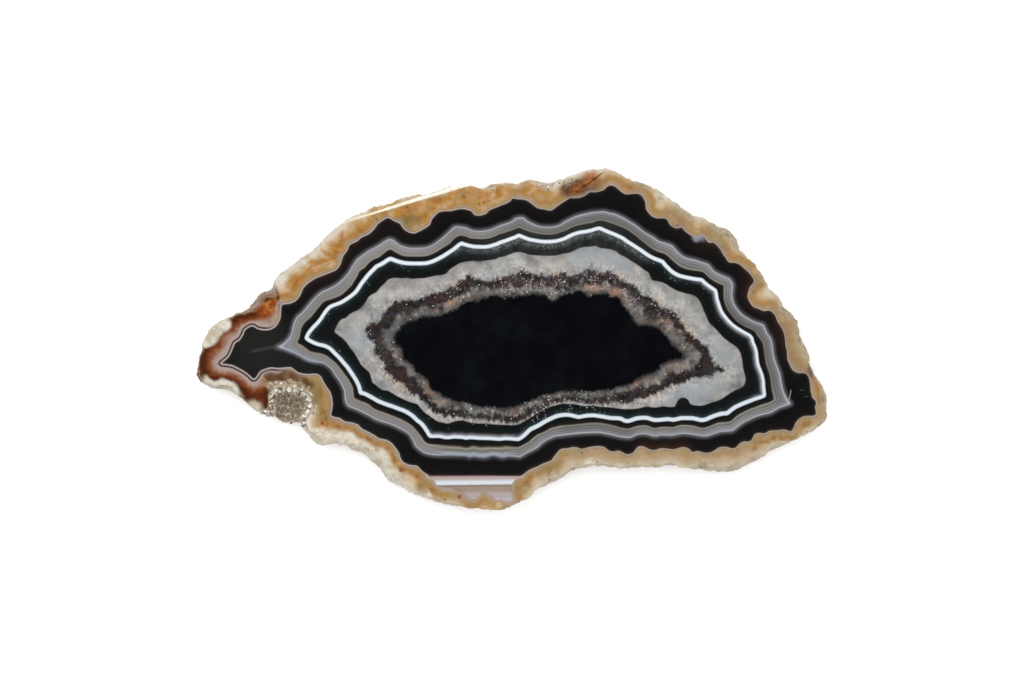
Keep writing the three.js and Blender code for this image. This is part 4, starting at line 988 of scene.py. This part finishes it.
khaki = uneven.ramp(
    (0.04, tone(132, 108, 82)), (0.22, tone(148, 120, 88)), (0.42, tone(155, 125, 90)),
    (0.62, tone(160, 134, 98)), (0.82, tone(164, 148, 114)), (1.00, tone(180, 168, 140)))
khaki = khaki.paint(tone(184, 152, 124), patch.rise(0.53, 0.62) * 0.5)
khaki = khaki.paint(tone(158, 146, 104), greenish * 0.5)
rind = rind.paint(khaki, value_of("khaki").rise(0.15, 0.7) * 0.9)
beige = uneven.ramp(
    (0.04, tone(140, 120, 90)), (0.20, tone(158, 134, 100)), (0.38, tone(168, 142, 106)),
    (0.56, tone(180, 156, 124)), (0.76, tone(186, 170, 142)), (1.00, tone(200, 190, 168)))
beige = beige.paint(tone(192, 158, 132), patch.rise(0.50, 0.60) * 0.45)
beige = beige.paint(tone(166, 152, 112), greenish * 0.65)
rind = rind.paint(beige, value_of("beige").rise(0.15, 0.7) * 0.9)
golden = soft_patch.ramp(
    (0.42, tone(156, 106, 44)), (0.475, tone(178, 126, 56)), (0.51, tone(184, 132, 66)),
    (0.545, tone(188, 149, 98)), (0.60, tone(204, 176, 136)))
golden = golden.paint(tone(162, 146, 108), greenish * 0.45)
rind = rind.paint(golden, (gold + (patch - 0.5) * 1.4).rise(0.25, 0.75) * 0.92)
rusty = (across + (patch - 0.5) * 0.5 + (mottle - 0.5) * 0.25).ramp(
    (0.00, tone(156, 138, 134)), (0.16, tone(172, 150, 145)), (0.30, tone(166, 138, 126)),
    (0.42, tone(146, 102, 80)), (0.53, tone(124, 68, 40)), (0.64, tone(104, 48, 20)),
    (0.77, tone(74, 34, 13)), (0.90, tone(76, 38, 18)), (0.97, tone(96, 58, 36)),
    (1.00, tone(122, 90, 68)))
rind = rind.paint(rusty, (arm + (patch - 0.5) * 0.8).rise(0.25, 0.65))
olive = soft_patch.ramp((0.42, tone(128, 108, 66)), (0.50, tone(146, 122, 76)), (0.58, tone(166, 140, 98)))
rind = rind.paint(olive, value_of("olive").rise(0.15, 0.7) * 0.9)
brown = soft_patch.ramp((0.42, tone(74, 46, 27)), (0.50, tone(94, 64, 44)), (0.58, tone(120, 95, 72)))
rind = rind.paint(brown, (value_of("brown") + (mottle - 0.5) * 0.8).rise(0.25, 0.85) * 0.9)
belt = out.band(0.7, 1.7, 0.4) * (value_of("belt") + (patch - 0.5) * 1.2).rise(0.25, 0.8)
rind = rind.paint(mottle.ramp((0.42, tone(142, 100, 48)), (0.55, tone(170, 132, 82))), belt * 0.75)
ochre = mottle.ramp((0.40, tone(136, 62, 20)), (0.50, tone(162, 86, 30)), (0.60, tone(188, 122, 56)))
rind = rind.paint(ochre, (value_of("orange") + (patch - 0.5) * 1.2).rise(0.25, 0.95) * 0.8)
creamy = soft_patch.ramp(
    (0.42, tone(194, 180, 154)), (0.50, tone(216, 207, 188)), (0.58, tone(232, 227, 214)))
creamy = creamy.paint(tone(168, 164, 146), grain(0.7, 3, shift=0.12).rise(0.58, 0.68) * 0.45)
# Painted glints: near-white dots on the cream, standing in for light caught by its crystals
creamy = creamy.paint(tone(255, 253, 248), glint_and_speck_dots(0.5, 0.16, 0.73) * 0.6)
at_cream_edge = value_of("cream_edge").rise(0.2, 0.8) * (1 - (in_skin + (patch - 0.5) * 1.6).rise(0.6, 1.3))
rind = rind.paint(creamy, at_cream_edge * 0.9)
rind = rind.paint(creamy, (milk + (patch - 0.5) * 0.8).rise(0.2, 0.8) * out.rise(1.0, 2.0) * 0.9)
vein = value_of("from_vein") + (mottle - 0.5) * 0.9
rind = rind.paint(tone(170, 106, 38), (1 - vein.rise(0.0, 0.45)) * 0.6)
rust_line = (out + drift * 0.7 - 1.5).band(-0.10, 0.10, 0.14) * patch.rise(0.50, 0.60)
rust_line = rust_line * (1 - arm.rise(0.2, 0.5))
rust_line = rust_line * (1 - value_of("beige").rise(0.1, 0.4))
rind = rind.paint(tone(152, 92, 44), rust_line * 0.45)
rind = rind.paint(tone(84, 58, 40), glint_and_speck_dots(0.6, 0.03, 0.61) * 0.7)
rind = rind.paint(tone(142, 60, 34), (value_of("red_dot") + (speckle - 0.5) * 0.6).rise(0.3, 0.7) * 0.85)
rind = rind.paint(tone(60, 38, 28), 1 - (value_of("from_crack") + (mottle - 0.5) * 0.15).rise(0.0, 0.16))
# Druse: crystal grains in varied tones over the rind; the brightest, near-white grains are painted glints
druse = (value_of("druse") + (mottle - 0.5) * 1.2).rise(0.3, 0.75)
druse_tones_and_glints = chance(0.28, 0.03).ramp(
    (0.0, tone(116, 100, 78)), (0.4, tone(158, 143, 118)), (0.75, tone(192, 180, 158)),
    (0.94, tone(255, 253, 250)))
rind = rind.paint(druse_tones_and_glints, druse * 0.7)
edge = in_skin + (speckle - 0.5) * 0.3
by_khaki = value_of("khaki").rise(0.2, 0.7)
rind = rind.paint(tone(120, 100, 66), (1 - edge.rise(0.0, 0.35)) * mottle.rise(0.44, 0.56) * by_khaki * 0.6)

# Pale line where the rind meets the first black band, doubled by a dark line round the left arm
pale_line = cloud.ramp((0.42, tone(164, 160, 160)), (0.50, tone(160, 150, 140)), (0.58, tone(168, 148, 124)))
pale_line = pale_line.paint(tone(170, 146, 118), value_of("beige").rise(0.2, 0.8) * 0.8)
colour = rind.paint(pale_line, (1 - (out + (patch - 0.5)).rise(0.10, 0.8)) * (0.35 + westward * 0.25))
by_arm = arm.rise(0.3, 0.7)
colour = colour.paint(tone(178, 161, 157), by_arm * (1 - out.rise(0.5, 1.1)) * 0.85)
colour = colour.paint(tone(44, 34, 33), by_arm * out.band(0.22, 0.52, 0.08) * 0.95)
above_bed = level.rise(-22.4, -21.7)
colour = colour.paint(tone(112, 90, 74), out.band(0.24, 0.38, 0.08) * above_bed * (0.25 + westward * 0.25))
colour = colour.paint(tone(188, 176, 174), (1 - out.rise(0.10, 0.20)) * above_bed * (0.4 + westward * 0.45))

# Flat layers of the bed, which lie level below the bands
bed_depth = (-21.5 - level + (mottle - 0.5) * 0.14 + (eastward + 6) * 0.012) / 4.2
bed = bed_depth.ramp(
    (0.00, tone(120, 88, 84)), (0.04, tone(172, 150, 148)), (0.15, tone(190, 172, 168)),
    (0.21, tone(204, 210, 220)), (0.26, tone(222, 228, 234)), (0.34, tone(212, 214, 218)),
    (0.375, tone(120, 112, 100)), (0.41, tone(154, 140, 124)), (0.60, tone(168, 152, 138)),
    (0.72, tone(182, 170, 170)), (0.92, tone(196, 188, 192)), (1.0, tone(178, 160, 148)))
fine_level = Wire.node("TexNoise", {"noise_dimensions": "1D"}, {
    "W": level * 5 + (mottle - 0.5) * 0.8, "Scale": 1.0, "Detail": 3.0}, "Fac")
bed = bed.paint(tone(128, 112, 100), fine_level.rise(0.50, 0.60) * bed_depth.rise(0.36, 0.42) * 0.4)
by_border = (1 - (in_bed + wobble).rise(0.0, 0.6)) * bed_depth.rise(0.3, 0.5)
bed = bed.paint(tone(150, 100, 84), by_border * patch.rise(0.40, 0.60) * 0.6)
colour = colour.paint(bed, (in_bed + wobble * 0.5).rise(-0.02, 0.10))

# First black band, brownish by the rind, then a mist of grey before the grey band
to_rind = in_rind + wobble * 0.8
warm = value_of("warm").rise(0.1, 0.9)
black = (to_rind / 3 + (cloud - 0.5) * 0.2).ramp(
    (0.0, tone(48, 42, 38)), (0.14, tone(22, 20, 20)), (1.0, tone(15, 15, 16)))
black = black.paint(tone(34, 34, 33), value_of("dusk").rise(0.1, 1.1))
brownish = (to_rind / 3).ramp((0.0, tone(56, 38, 31)), (0.3, tone(32, 24, 22)), (1.0, tone(24, 20, 20)))
black = black.paint(brownish, warm)
colour = colour.paint(black, to_rind.rise(-0.10, 0.08))
to_grey = in_grey + wobble * 0.5
glow = value_of("glow").rise(0.2, 1.0)
flat_part = value_of("flat_part").rise(0.4, 1.0)
mist = (to_grey + 1.1).rise(0.0, 1.25) ** 3
mist = mist * to_rind.rise(0.1, 0.4) * (0.7 - glow * 0.3 - flat_part * 0.35)
colour = colour.paint(tone(126, 127, 131), mist)
colour = colour.paint(tone(200, 200, 206), (1 - value_of("from_scratch").rise(0.0, 0.11)) * 0.6)
colour = colour.paint(tone(96, 110, 136), (1 - value_of("from_hairline").rise(0.0, 0.13)) * 0.25)
colour = colour.paint(tone(80, 90, 92), (1 - value_of("from_smear").rise(0.0, 0.45)) * 0.3)
lilac = value_of("blue_tip").rise(0.2, 0.8) * eastward.rise(20, 26) * to_rind.band(-0.3, 0.5, 0.35)
colour = colour.paint(tone(146, 150, 168), lilac * 0.75)

# Grey band of fine layers, which keep their share of its width
share = to_grey / (in_grey - past_grey) + (grain(0.5, 2) - 0.5) * 0.05
layers = share.ramp(
    (0.00, tone(140, 141, 147)), (0.06, tone(184, 184, 192)), (0.14, tone(138, 140, 146)),
    (0.27, tone(116, 118, 121)), (0.35, tone(141, 143, 145)), (0.41, tone(108, 109, 110)),
    (0.55, tone(118, 119, 117)), (0.61, tone(142, 140, 136)), (0.68, tone(100, 99, 97)),
    (0.82, tone(115, 114, 110)), (0.90, tone(154, 150, 142)), (1.00, tone(94, 90, 84)))
broad = grain(14, 1, shift=0.31)
layers = layers.paint(tone(160, 158, 164), broad.rise(0.46, 0.62) * share.band(-0.2, 0.5, 0.3) * 0.4)
layers = layers.paint(tone(86, 83, 80), (1 - broad.rise(0.40, 0.52)) * share.rise(0.1, 0.5) * 0.35)
layers = layers.paint(tone(156, 150, 146), westward * share.rise(0.15, 0.4) * 0.4)
layers = layers.paint(tone(80, 80, 83), glow * share.rise(0.3, 0.8) * 0.45)
flat_layers = share.ramp(
    (0.00, tone(100, 104, 108)), (0.12, tone(138, 148, 158)), (0.26, tone(158, 170, 180)),
    (0.40, tone(138, 142, 148)), (0.50, tone(126, 126, 124)), (0.62, tone(104, 100, 88)),
    (0.72, tone(132, 130, 116)), (0.82, tone(150, 148, 134)), (0.90, tone(112, 106, 86)),
    (1.00, tone(70, 66, 54)))
layers = layers.paint(flat_layers, flat_part)
colour = colour.paint(layers, to_grey.rise(-0.09, 0.09))
blue_tip = value_of("blue_tip").rise(0.3, 1.0)
colour = colour.paint(tone(146, 156, 178), blue_tip * to_grey.band(-0.2, 0.5, 0.3) * 0.6)

# Second black band, then the bright white line and the third black band inside it
past = past_grey + wobble * 0.5
haze_here = value_of("haze").rise(0.2, 0.9)
colour = colour.paint(
    (past / 1.2).ramp((0.0, tone(36, 30, 28)), (0.5, tone(22, 22, 22)), (1.0, tone(14, 20, 19))).paint(
        tone(46, 50, 48), haze_here * 0.7),
    past.rise(-0.04, 0.14))
to_white = in_white + wobble * 0.35
white_width = 0.54 + broad * 0.18 - glow * 0.10
white = (to_white / white_width).ramp(
    (0.0, tone(176, 188, 202)), (0.3, tone(232, 238, 242)), (0.65, tone(234, 240, 243)),
    (1.0, tone(176, 192, 206)))
northward = level.rise(-8, 4)
white = white.paint(tone(204, 216, 226), (1 - northward) * 0.45)
colour = colour.paint(white, to_white.rise(-0.09, 0.09))
inside = to_white - white_width
third = (inside / 2).ramp(
    (0.0, tone(42, 52, 55)), (0.3, tone(21, 27, 28)), (0.7, tone(17, 20, 21)), (1.0, tone(25, 24, 22)))
third = third.paint(tone(52, 55, 53), haze_here * (0.5 + (mottle - 0.5) * 1.5))
colour = colour.paint(third, inside.rise(-0.09, 0.09))
smoke = (grain(0.30, 4, shift=0.01) * 0.7 + grain(0.9, 3, shift=0.04) * 0.3).rise(0.42, 0.62)
fog = ((1 - inside.rise(0.0, 0.85)) ** 2) * inside.rise(-0.12, 0.05)
fog_colour = inside.ramp((0.0, tone(164, 163, 170)), (0.35, tone(122, 117, 121)), (0.9, tone(84, 80, 83)))
colour = colour.paint(fog_colour, fog * glow * (0.75 + smoke * 0.25))
dusty = (1 - inside.rise(0.3, 1.2)) * inside.rise(0.0, 0.12) * haze_here
colour = colour.paint(tone(112, 115, 116), dusty * (0.14 + smoke * 0.62))
near_white = inside.rise(0.0, 0.15) * (1 - inside.rise(0.3, 1.2))
# Painted glints: small pale blue-white dots in the black just inside the white line, stronger towards the top
white_line_glints = (glint_and_speck_dots(0.22, 0.14, 0.37) + glint_and_speck_dots(0.36, 0.07, 0.33)) * near_white * grain(2.5, 2).rise(0.42, 0.6)
white_line_glints = white_line_glints * (0.25 + northward * 0.75)
colour = colour.paint(tone(176, 196, 200), white_line_glints * 0.8)

# Quartz, smooth and grey outside and sugary by the seam, where its points stand like a comb
along = value_of("along_seam")
comb = Wire.node("CombineXYZ", None, {0: along * (MM / 0.42), 1: in_seam * (MM / 1.6)})
teeth = Wire.node("TexNoise", None, {
    "Vector": comb, "Scale": 1 / MM, "Detail": 3.0, "Roughness": 0.6}, "Fac")
spikes = Wire.node("TexVoronoi", {"voronoi_dimensions": "1D"}, {
    "W": along / 0.62 + (grain(1.2, 2) - 0.5) * 1.5, "Scale": 1.0})
lump = grain(1.3, 3, shift=0.17)
fine = grain(0.36, 3, shift=0.06)
sparkling = value_of("sparkling").rise(0.15, 0.8)
near_seam = in_seam.rise(-1.8, -0.1)
brighter = in_seam.rise(-3.4, -0.9) * 0.08
sugar = grain(2.4, 4, shift=0.03) * 0.55 + lump * 0.25 + fine * 0.2 + (fine - 0.5) * near_seam * 0.5
quartz = (sugar + brighter).ramp(
    (0.38, tone(112, 112, 111)), (0.46, tone(137, 137, 136)), (0.53, tone(154, 153, 151)),
    (0.60, tone(172, 171, 168)), (0.68, tone(192, 190, 186)))
# Painted glints: bright dots over the quartz; the darker dots after them are specks in it
quartz = quartz.paint(tone(212, 214, 218), glint_and_speck_dots(0.34, 0.06, 0.75) * 0.6)
quartz = quartz.paint(tone(96, 96, 97), glint_and_speck_dots(0.30, 0.06, 0.77) * 0.5)
quartz = quartz.paint(tone(172, 160, 148), grain(4.0, 3, shift=0.07).rise(0.48, 0.62) * 0.28)
bluish = value_of("bluish").rise(0.2, 0.9)
quartz = quartz.paint(tone(156, 165, 173), bluish * 0.5)
comb_tone = (teeth + (lump - 0.5) * 0.8).ramp(
    (0.38, tone(70, 64, 64)), (0.48, tone(126, 120, 118)), (0.56, tone(168, 160, 154)),
    (0.66, tone(206, 198, 190)))
quartz = quartz.paint(comb_tone, near_seam * lump.rise(0.40, 0.58) * 0.75)
peach = value_of("peach").rise(0.2, 0.8)
quartz = quartz.paint(tone(208, 184, 160), near_seam * peach * teeth.rise(0.36, 0.60) * 0.9)
to_quartz = in_quartz + wobble
colour = colour.paint(quartz, to_quartz.rise(-0.10, 0.12))

# Dark seam with crystal points on both sides, the quartz inside it, and the black heart
jag = (0.40 - spikes) * lump.rise(0.38, 0.62) * 0.9 + (teeth - 0.5) * 1.1 + (lump - 0.5) * 1.2
seam = (grain(0.9, 3, shift=0.13) * 0.7 + grain(0.3, 3, shift=0.14) * 0.3).ramp(
    (0.37, tone(11, 10, 11)), (0.45, tone(23, 20, 20)), (0.50, tone(38, 29, 26)), (0.54, tone(22, 22, 20)),
    (0.58, tone(42, 37, 46)), (0.63, tone(68, 54, 50)))
seam = seam.paint(tone(46, 50, 42), grain(1.6, 3, shift=0.15).rise(0.50, 0.62) * 0.55)
seam = seam.paint(tone(64, 34, 25), grain(1.4, 3, shift=0.16).rise(0.57, 0.66) * 0.55)
seam = seam.paint(tone(48, 40, 58), grain(1.5, 3, shift=0.18).rise(0.56, 0.65) * 0.6)
seam_grain = chance(0.32, 0.57).ramp(
    (0.0, tone(30, 24, 26)), (0.3, tone(70, 54, 72)), (0.5, tone(96, 60, 50)), (0.7, tone(70, 66, 46)),
    (0.9, tone(132, 124, 120)))
seam = seam.paint(seam_grain, sparkling * grain(1.2, 2, shift=0.59).rise(0.44, 0.6) * 0.6)
colour = colour.paint(seam, (in_seam + 0.12 + jag * 0.8).rise(-0.36, 0.26) * 0.97)
inner = (lump * 0.55 + fine * 0.15 + teeth * 0.3 + (fine - 0.5) * sparkling * 0.35).ramp(
    (0.38, tone(48, 45, 45)), (0.45, tone(86, 81, 78)), (0.52, tone(112, 107, 102)),
    (0.60, tone(142, 136, 129)), (0.68, tone(182, 176, 170)))
inner = inner.paint(tone(146, 118, 102), grain(2.2, 3, shift=0.19).rise(0.52, 0.66) * 0.4)
inner = inner.paint(tone(92, 104, 108), grain(2.6, 3, shift=0.21).rise(0.54, 0.66) * 0.5)
inner = inner.paint(tone(100, 105, 111), bluish * 0.6)
inner = inner.paint(tone(166, 128, 108), value_of("blush").rise(0.2, 0.9) * patch.rise(0.38, 0.56) * 0.75)
inner = inner.paint(tone(52, 52, 54), (in_heart + (teeth - 0.5)).rise(-1.1, 0.0) * 0.55)
slim = value_of("slim_seam").rise(0.1, 1.0)
to_inner = past_seam - 0.20 - (1 - eastward.rise(-20, -14)) * 0.5 + slim * 0.95
to_inner = to_inner + (teeth - 0.5) * 0.9 + (lump - 0.5) * 1.5
colour = colour.paint(inner, to_inner.rise(-0.42, 0.38))
# Painted glints: bright dots on the quartz by the seam, in clusters where it sparkles, and a few elsewhere
clusters = grain(1.5, 3, shift=0.48).rise(0.42, 0.58)
shine = (glint_and_speck_dots(0.26, 0.26, 0.43) + glint_and_speck_dots(0.42, 0.12, 0.45)) * sparkling * clusters + glint_and_speck_dots(0.3, 0.04, 0.47)
colour = colour.paint(tone(232, 232, 234), shine * in_seam.rise(-2.6, -0.4) * 0.85)
heart = (grain(5.0, 3, shift=0.51) * 0.7 + grain(1.5, 3, shift=0.53) * 0.3).ramp(
    (0.42, tone(7, 8, 11)), (0.55, tone(10, 12, 15)), (0.66, tone(14, 17, 19)))
heart_edge = in_heart + (teeth - 0.5) * 1.1 + (lump - 0.5) * 0.5 + (fine - 0.5) * 0.9
colour = colour.paint(heart, heart_edge.rise(-0.40, 0.22))

# Skin, the pocket's wall and the ground edge, which carries a painted highlight
crust = (grain(2.2, 4, shift=0.63) * 0.6 + grain(0.8, 4, shift=0.23) * 0.4).ramp(
    (0.40, tone(124, 100, 70)), (0.47, tone(168, 144, 110)), (0.53, tone(200, 181, 150)),
    (0.60, tone(220, 210, 188)))
below = 1 - (up + (patch - 0.5) * 4).rise(THICK - 3.6, THICK - 1.0)
skin_colour = rind.paint(crust, 0.10 + below * 0.70)
skin_colour = skin_colour.paint(creamy, milk.rise(0.3, 0.9) * up.rise(1.5, 4.0) * 0.9)
# Painted glints: white dots on the skin, in patches
skin_colour = skin_colour.paint(tone(250, 248, 242), glint_and_speck_dots(0.45, 0.08, 0.71) * patch.rise(0.50, 0.58) * 0.8)
colour = colour.paint(skin_colour, skin.rise(0.4, 0.9))
colour = colour.paint(tone(150, 138, 118), value_of("pocket").rise(0.4, 0.9))
# The polished ground bevel is painted near-white: a painted highlight where its flat facet catches the light
ground = value_of("ground_depth")
ground_highlight_colour = (ground + (mottle - 0.5) * 0.6).ramp(
    (0.0, tone(228, 208, 168)), (0.10, tone(242, 232, 210)), (0.28, tone(250, 246, 236)))
colour = colour.paint(ground_highlight_colour, ground.rise(-0.05, 0.05))

colour.into(shader, "Base Color")
roughness = 0.12 + skin.rise(0.3, 0.9) * 0.45 + value_of("sawn") * 0.33
roughness.into(shader, "Roughness")
relief = grain(0.4, 4, shift=0.29) * (skin + value_of("sawn") * 0.2)
bump = Wire.node("Bump", None, {"Height": relief, "Strength": 0.35, "Distance": 0.2 * MM})
bump.into(shader, "Normal")
shader.inputs["IOR"].default_value = QUARTZ_IOR
stone_mesh.materials.append(stone_material)

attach(stone, "root")
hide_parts("agate_slice")


# Pocket crystals: a crust of small quartz points that grew over the walls of an open pocket in the
# rim, clear to grey beige. The saw cut the pocket open, so the points by the polished face end flush
# with it.
POINTS = 1500
SIDES = 6
CORNERS = 2 * SIDES + 1
POINT_RADIUS = (0.12, 0.24)
WIDER_BY_FACE = 0.09
WIDER_FROM, WIDER_OVER = 3.2, 2.4
# Heights over which the points near the face turn to the rim colours, whose whitest tops are painted glints,
# and grow smoother
PALER_FROM, PALER_OVER = 4.6, 1.2
LENGTH_IN_RADII = (1.8, 3.0)
FOOT_DEPTH = 0.3
SHOULDER_HEIGHT = (0.45, 0.7)
SHOULDER_RADIUS = 0.9
UNEVEN_SIDES = 0.16
UNEVEN_SHOULDER = 0.06
TIP_OFF_CENTRE = 0.25
UPWARD_LEAN = 0.35
LOOSE_LEAN = 0.28
SAWN_LEVEL = THICK - 0.02
SAWN_DEPTH = 0.08

# Where the points stand: the heights that they cover, and how many grow from the steep wall
CRUST_LEVELS = (1.7, THICK - 0.05)
STEEP_SHARE = 0.45
STEEP_LEVELS = (3.4, 5.6)
STEEP_SLOPES = (-0.2, 0.6)
OVERHANG = -0.2
draw = np.random.default_rng(7)
stone_surface = BVHTree.FromPolygons([Vector(p) for p in stone_places], stone_faces)


def six_sided_point(base, lean, radius, length):
    """A quartz point of six sides: its sunk foot, its shoulder and its tip, as places and faces."""
    turn = Vector(lean).to_track_quat("Z", "X")
    angles = np.radians(360 / SIDES) * np.arange(SIDES) + draw.uniform(0, 1)
    ring = np.column_stack([np.cos(angles), np.sin(angles)])
    ring = ring * (1 + draw.uniform(-UNEVEN_SIDES, UNEVEN_SIDES, (SIDES, 1)))
    shoulder = length * draw.uniform(*SHOULDER_HEIGHT)
    local = [(*point * radius, -FOOT_DEPTH) for point in ring]
    for point in ring:
        height = shoulder + draw.uniform(-UNEVEN_SHOULDER, UNEVEN_SHOULDER)
        local.append((*point * radius * SHOULDER_RADIUS, height))
    local.append((*draw.uniform(-TIP_OFF_CENTRE, TIP_OFF_CENTRE, 2) * radius, length))
    places = np.array([turn @ Vector(place) + Vector(base) for place in local])
    places[:, 2] = np.minimum(places[:, 2], SAWN_LEVEL + draw.uniform(-SAWN_DEPTH, 0.0))
    following = [(i + 1) % SIDES for i in range(SIDES)]
    faces = [(i, j, j + SIDES, i + SIDES) for i, j in enumerate(following)]
    faces += [(i + SIDES, j + SIDES, CORNERS - 1) for i, j in enumerate(following)]
    faces.append(tuple(reversed(range(SIDES))))
    return places, faces


def pocket_points():
    """Places on the pocket's wall with the direction that faces away from it."""
    found = []
    while len(found) < POINTS:
        start = Vector((*(POCKET_MIDDLE + draw.uniform(-POCKET_REACH, POCKET_REACH, 2)), THICK + 1))
        way = Vector((0, 0, -1))
        if draw.uniform() < STEEP_SHARE:
            way = Vector((*draw.normal(size=2), draw.uniform(*STEEP_SLOPES))).normalized()
            start = Vector((*POCKET_MIDDLE, draw.uniform(*STEEP_LEVELS)))
        hit, normal, index, _ = stone_surface.ray_cast(start, way)
        if hit is None or index >= len(side_faces) or not CRUST_LEVELS[0] <= hit.z <= CRUST_LEVELS[1]:
            continue
        if np.hypot(*(np.array(hit[:2]) - POCKET_MIDDLE)) > POCKET_REACH or normal.z < OVERHANG:
            continue
        found.append((hit, normal))
    return found


crystal_places, crystal_faces, tints = [], [], []
for foot, away in pocket_points():
    lean = (away + Vector((0, 0, UPWARD_LEAN)) + Vector(draw.normal(0, LOOSE_LEAN, 3))).normalized()
    near_face = min(max((foot.z - WIDER_FROM) / WIDER_OVER, 0), 1)
    radius = draw.uniform(*POINT_RADIUS) + WIDER_BY_FACE * near_face
    length = radius * draw.uniform(*LENGTH_IN_RADII)
    point_places, point_faces = six_sided_point(foot, lean, radius, length)
    start = len(crystal_places) * CORNERS
    crystal_faces += [tuple(i + start for i in face) for face in point_faces]
    crystal_places.append(point_places)
    tints += [draw.uniform(0, 1)] * CORNERS
crystal_places = np.concatenate(crystal_places)

crystals = piece_from("quartz_points", crystal_places, crystal_faces)
give(crystals.data, "tint", tints)
give(crystals.data, "near_face", np.clip((crystal_places[:, 2] - PALER_FROM) / PALER_OVER, 0, 1))

crystal_material, crystal_shader = new_material("quartz_points_glassy")
tint = value_of("tint")
glass = (tint * 0.6 + grain(0.5, 3) * 0.4).ramp(
    (0.2, tone(162, 142, 116)), (0.45, tone(192, 173, 146)), (0.6, tone(214, 198, 174)),
    (0.8, tone(250, 242, 230)))
# Points near the polished face: their tint runs from dark brown to white, and the whitest tops are painted
# glints
rim_glass_with_glints = (tint * 0.7 + grain(0.3, 3, shift=0.81) * 0.3).ramp(
    (0.22, tone(104, 88, 72)), (0.38, tone(152, 136, 118)), (0.56, tone(198, 186, 172)),
    (0.72, tone(250, 246, 240)))
glass.paint(rim_glass_with_glints, value_of("near_face") * 0.9).into(crystal_shader, "Base Color")
(0.42 - value_of("near_face") * 0.3).into(crystal_shader, "Roughness")
crystal_shader.inputs["IOR"].default_value = QUARTZ_IOR
crystal_shader.inputs["Transmission Weight"].default_value = 0.08
crystals.data.materials.append(crystal_material)

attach(crystals, "root")
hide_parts("pocket_crystals")


# Floor: a plain pale table top, matt, wide enough to fill the view from any side. The slice lies on
# it, flat on its sawn back.
FLOOR_HALF = 4000
floor_corners = [(x * FLOOR_HALF, y * FLOOR_HALF, 0) for x, y in ((-1, -1), (1, -1), (1, 1), (-1, 1))]
floor = piece_from("floor", floor_corners, [(0, 1, 2, 3)])
floor_material, floor_shader = new_material("floor_matt")
floor_shader.inputs["Base Color"].default_value = (0.93, 0.93, 0.93, 1)
floor_shader.inputs["Roughness"].default_value = 0.9
floor_shader.inputs["Specular IOR Level"].default_value = 0.2
floor.data.materials.append(floor_material)


# Light: a broad soft box above, a ring of small ones about it, and a pale room that is dark straight
# above the polished face, so that the black bands stay black. Sizes here are in metres.
def soft_box(name, azimuth, elevation, distance, size, power, mirrored=True):
    light = bpy.data.lights.new(name, "AREA")
    light.shape = "RECTANGLE"
    light.size, light.size_y = size
    light.energy = power
    lamp = into_scene(name, light)
    a, e = math.radians(azimuth), math.radians(elevation)
    spot = Vector((math.cos(a) * math.cos(e), math.sin(a) * math.cos(e), math.sin(e))) * distance
    lamp.location = spot
    lamp.rotation_euler = (-spot).to_track_quat("-Z", "Y").to_euler()
    lamp.visible_glossy = mirrored


soft_box("light_above", 0, 90, 1.6, (2.2, 2.2), 40, mirrored=False)
soft_box("light_left", 150, 40, 1.3, (1.0, 0.7), 4.5)
soft_box("light_right", 25, 40, 1.3, (1.0, 0.7), 3.0)
soft_box("light_back", 95, 30, 1.3, (1.2, 0.5), 4.5)
soft_box("light_front", 270, 40, 1.4, (1.2, 0.6), 3.0)

room = bpy.data.worlds.new("pale_room")
bpy.context.scene.world = room
room.use_nodes = True
Wire.tree = room.node_tree
way = Wire.node("TexCoord", output="Generated")
height = Wire.node("SeparateXYZ", None, {0: way}, 2)
room_shade = height.ramp((0.0, (0.9, 0.9, 0.9, 1)), (0.55, (0.8, 0.8, 0.8, 1)), (0.85, (0.03, 0.03, 0.03, 1)))
background = room.node_tree.nodes["Background"]
room_shade.into(background, "Color")
background.inputs["Strength"].default_value = 0.5


# Camera: straight above the slice, as it was photographed, with a long lens that keeps its rim from
# leaning.
VIEW_WIDTH = 161.5 * MM
AIM = Vector((-0.08, -0.39, THICK)) * MM
camera = into_scene("camera", bpy.data.cameras.new("camera"))
camera.data.lens = 100
camera.data.sensor_width = 36
camera.location = AIM + Vector((0, 0, VIEW_WIDTH * camera.data.lens / camera.data.sensor_width))
bpy.context.scene.camera = camera
bpy.context.scene.view_settings.view_transform = "Standard"
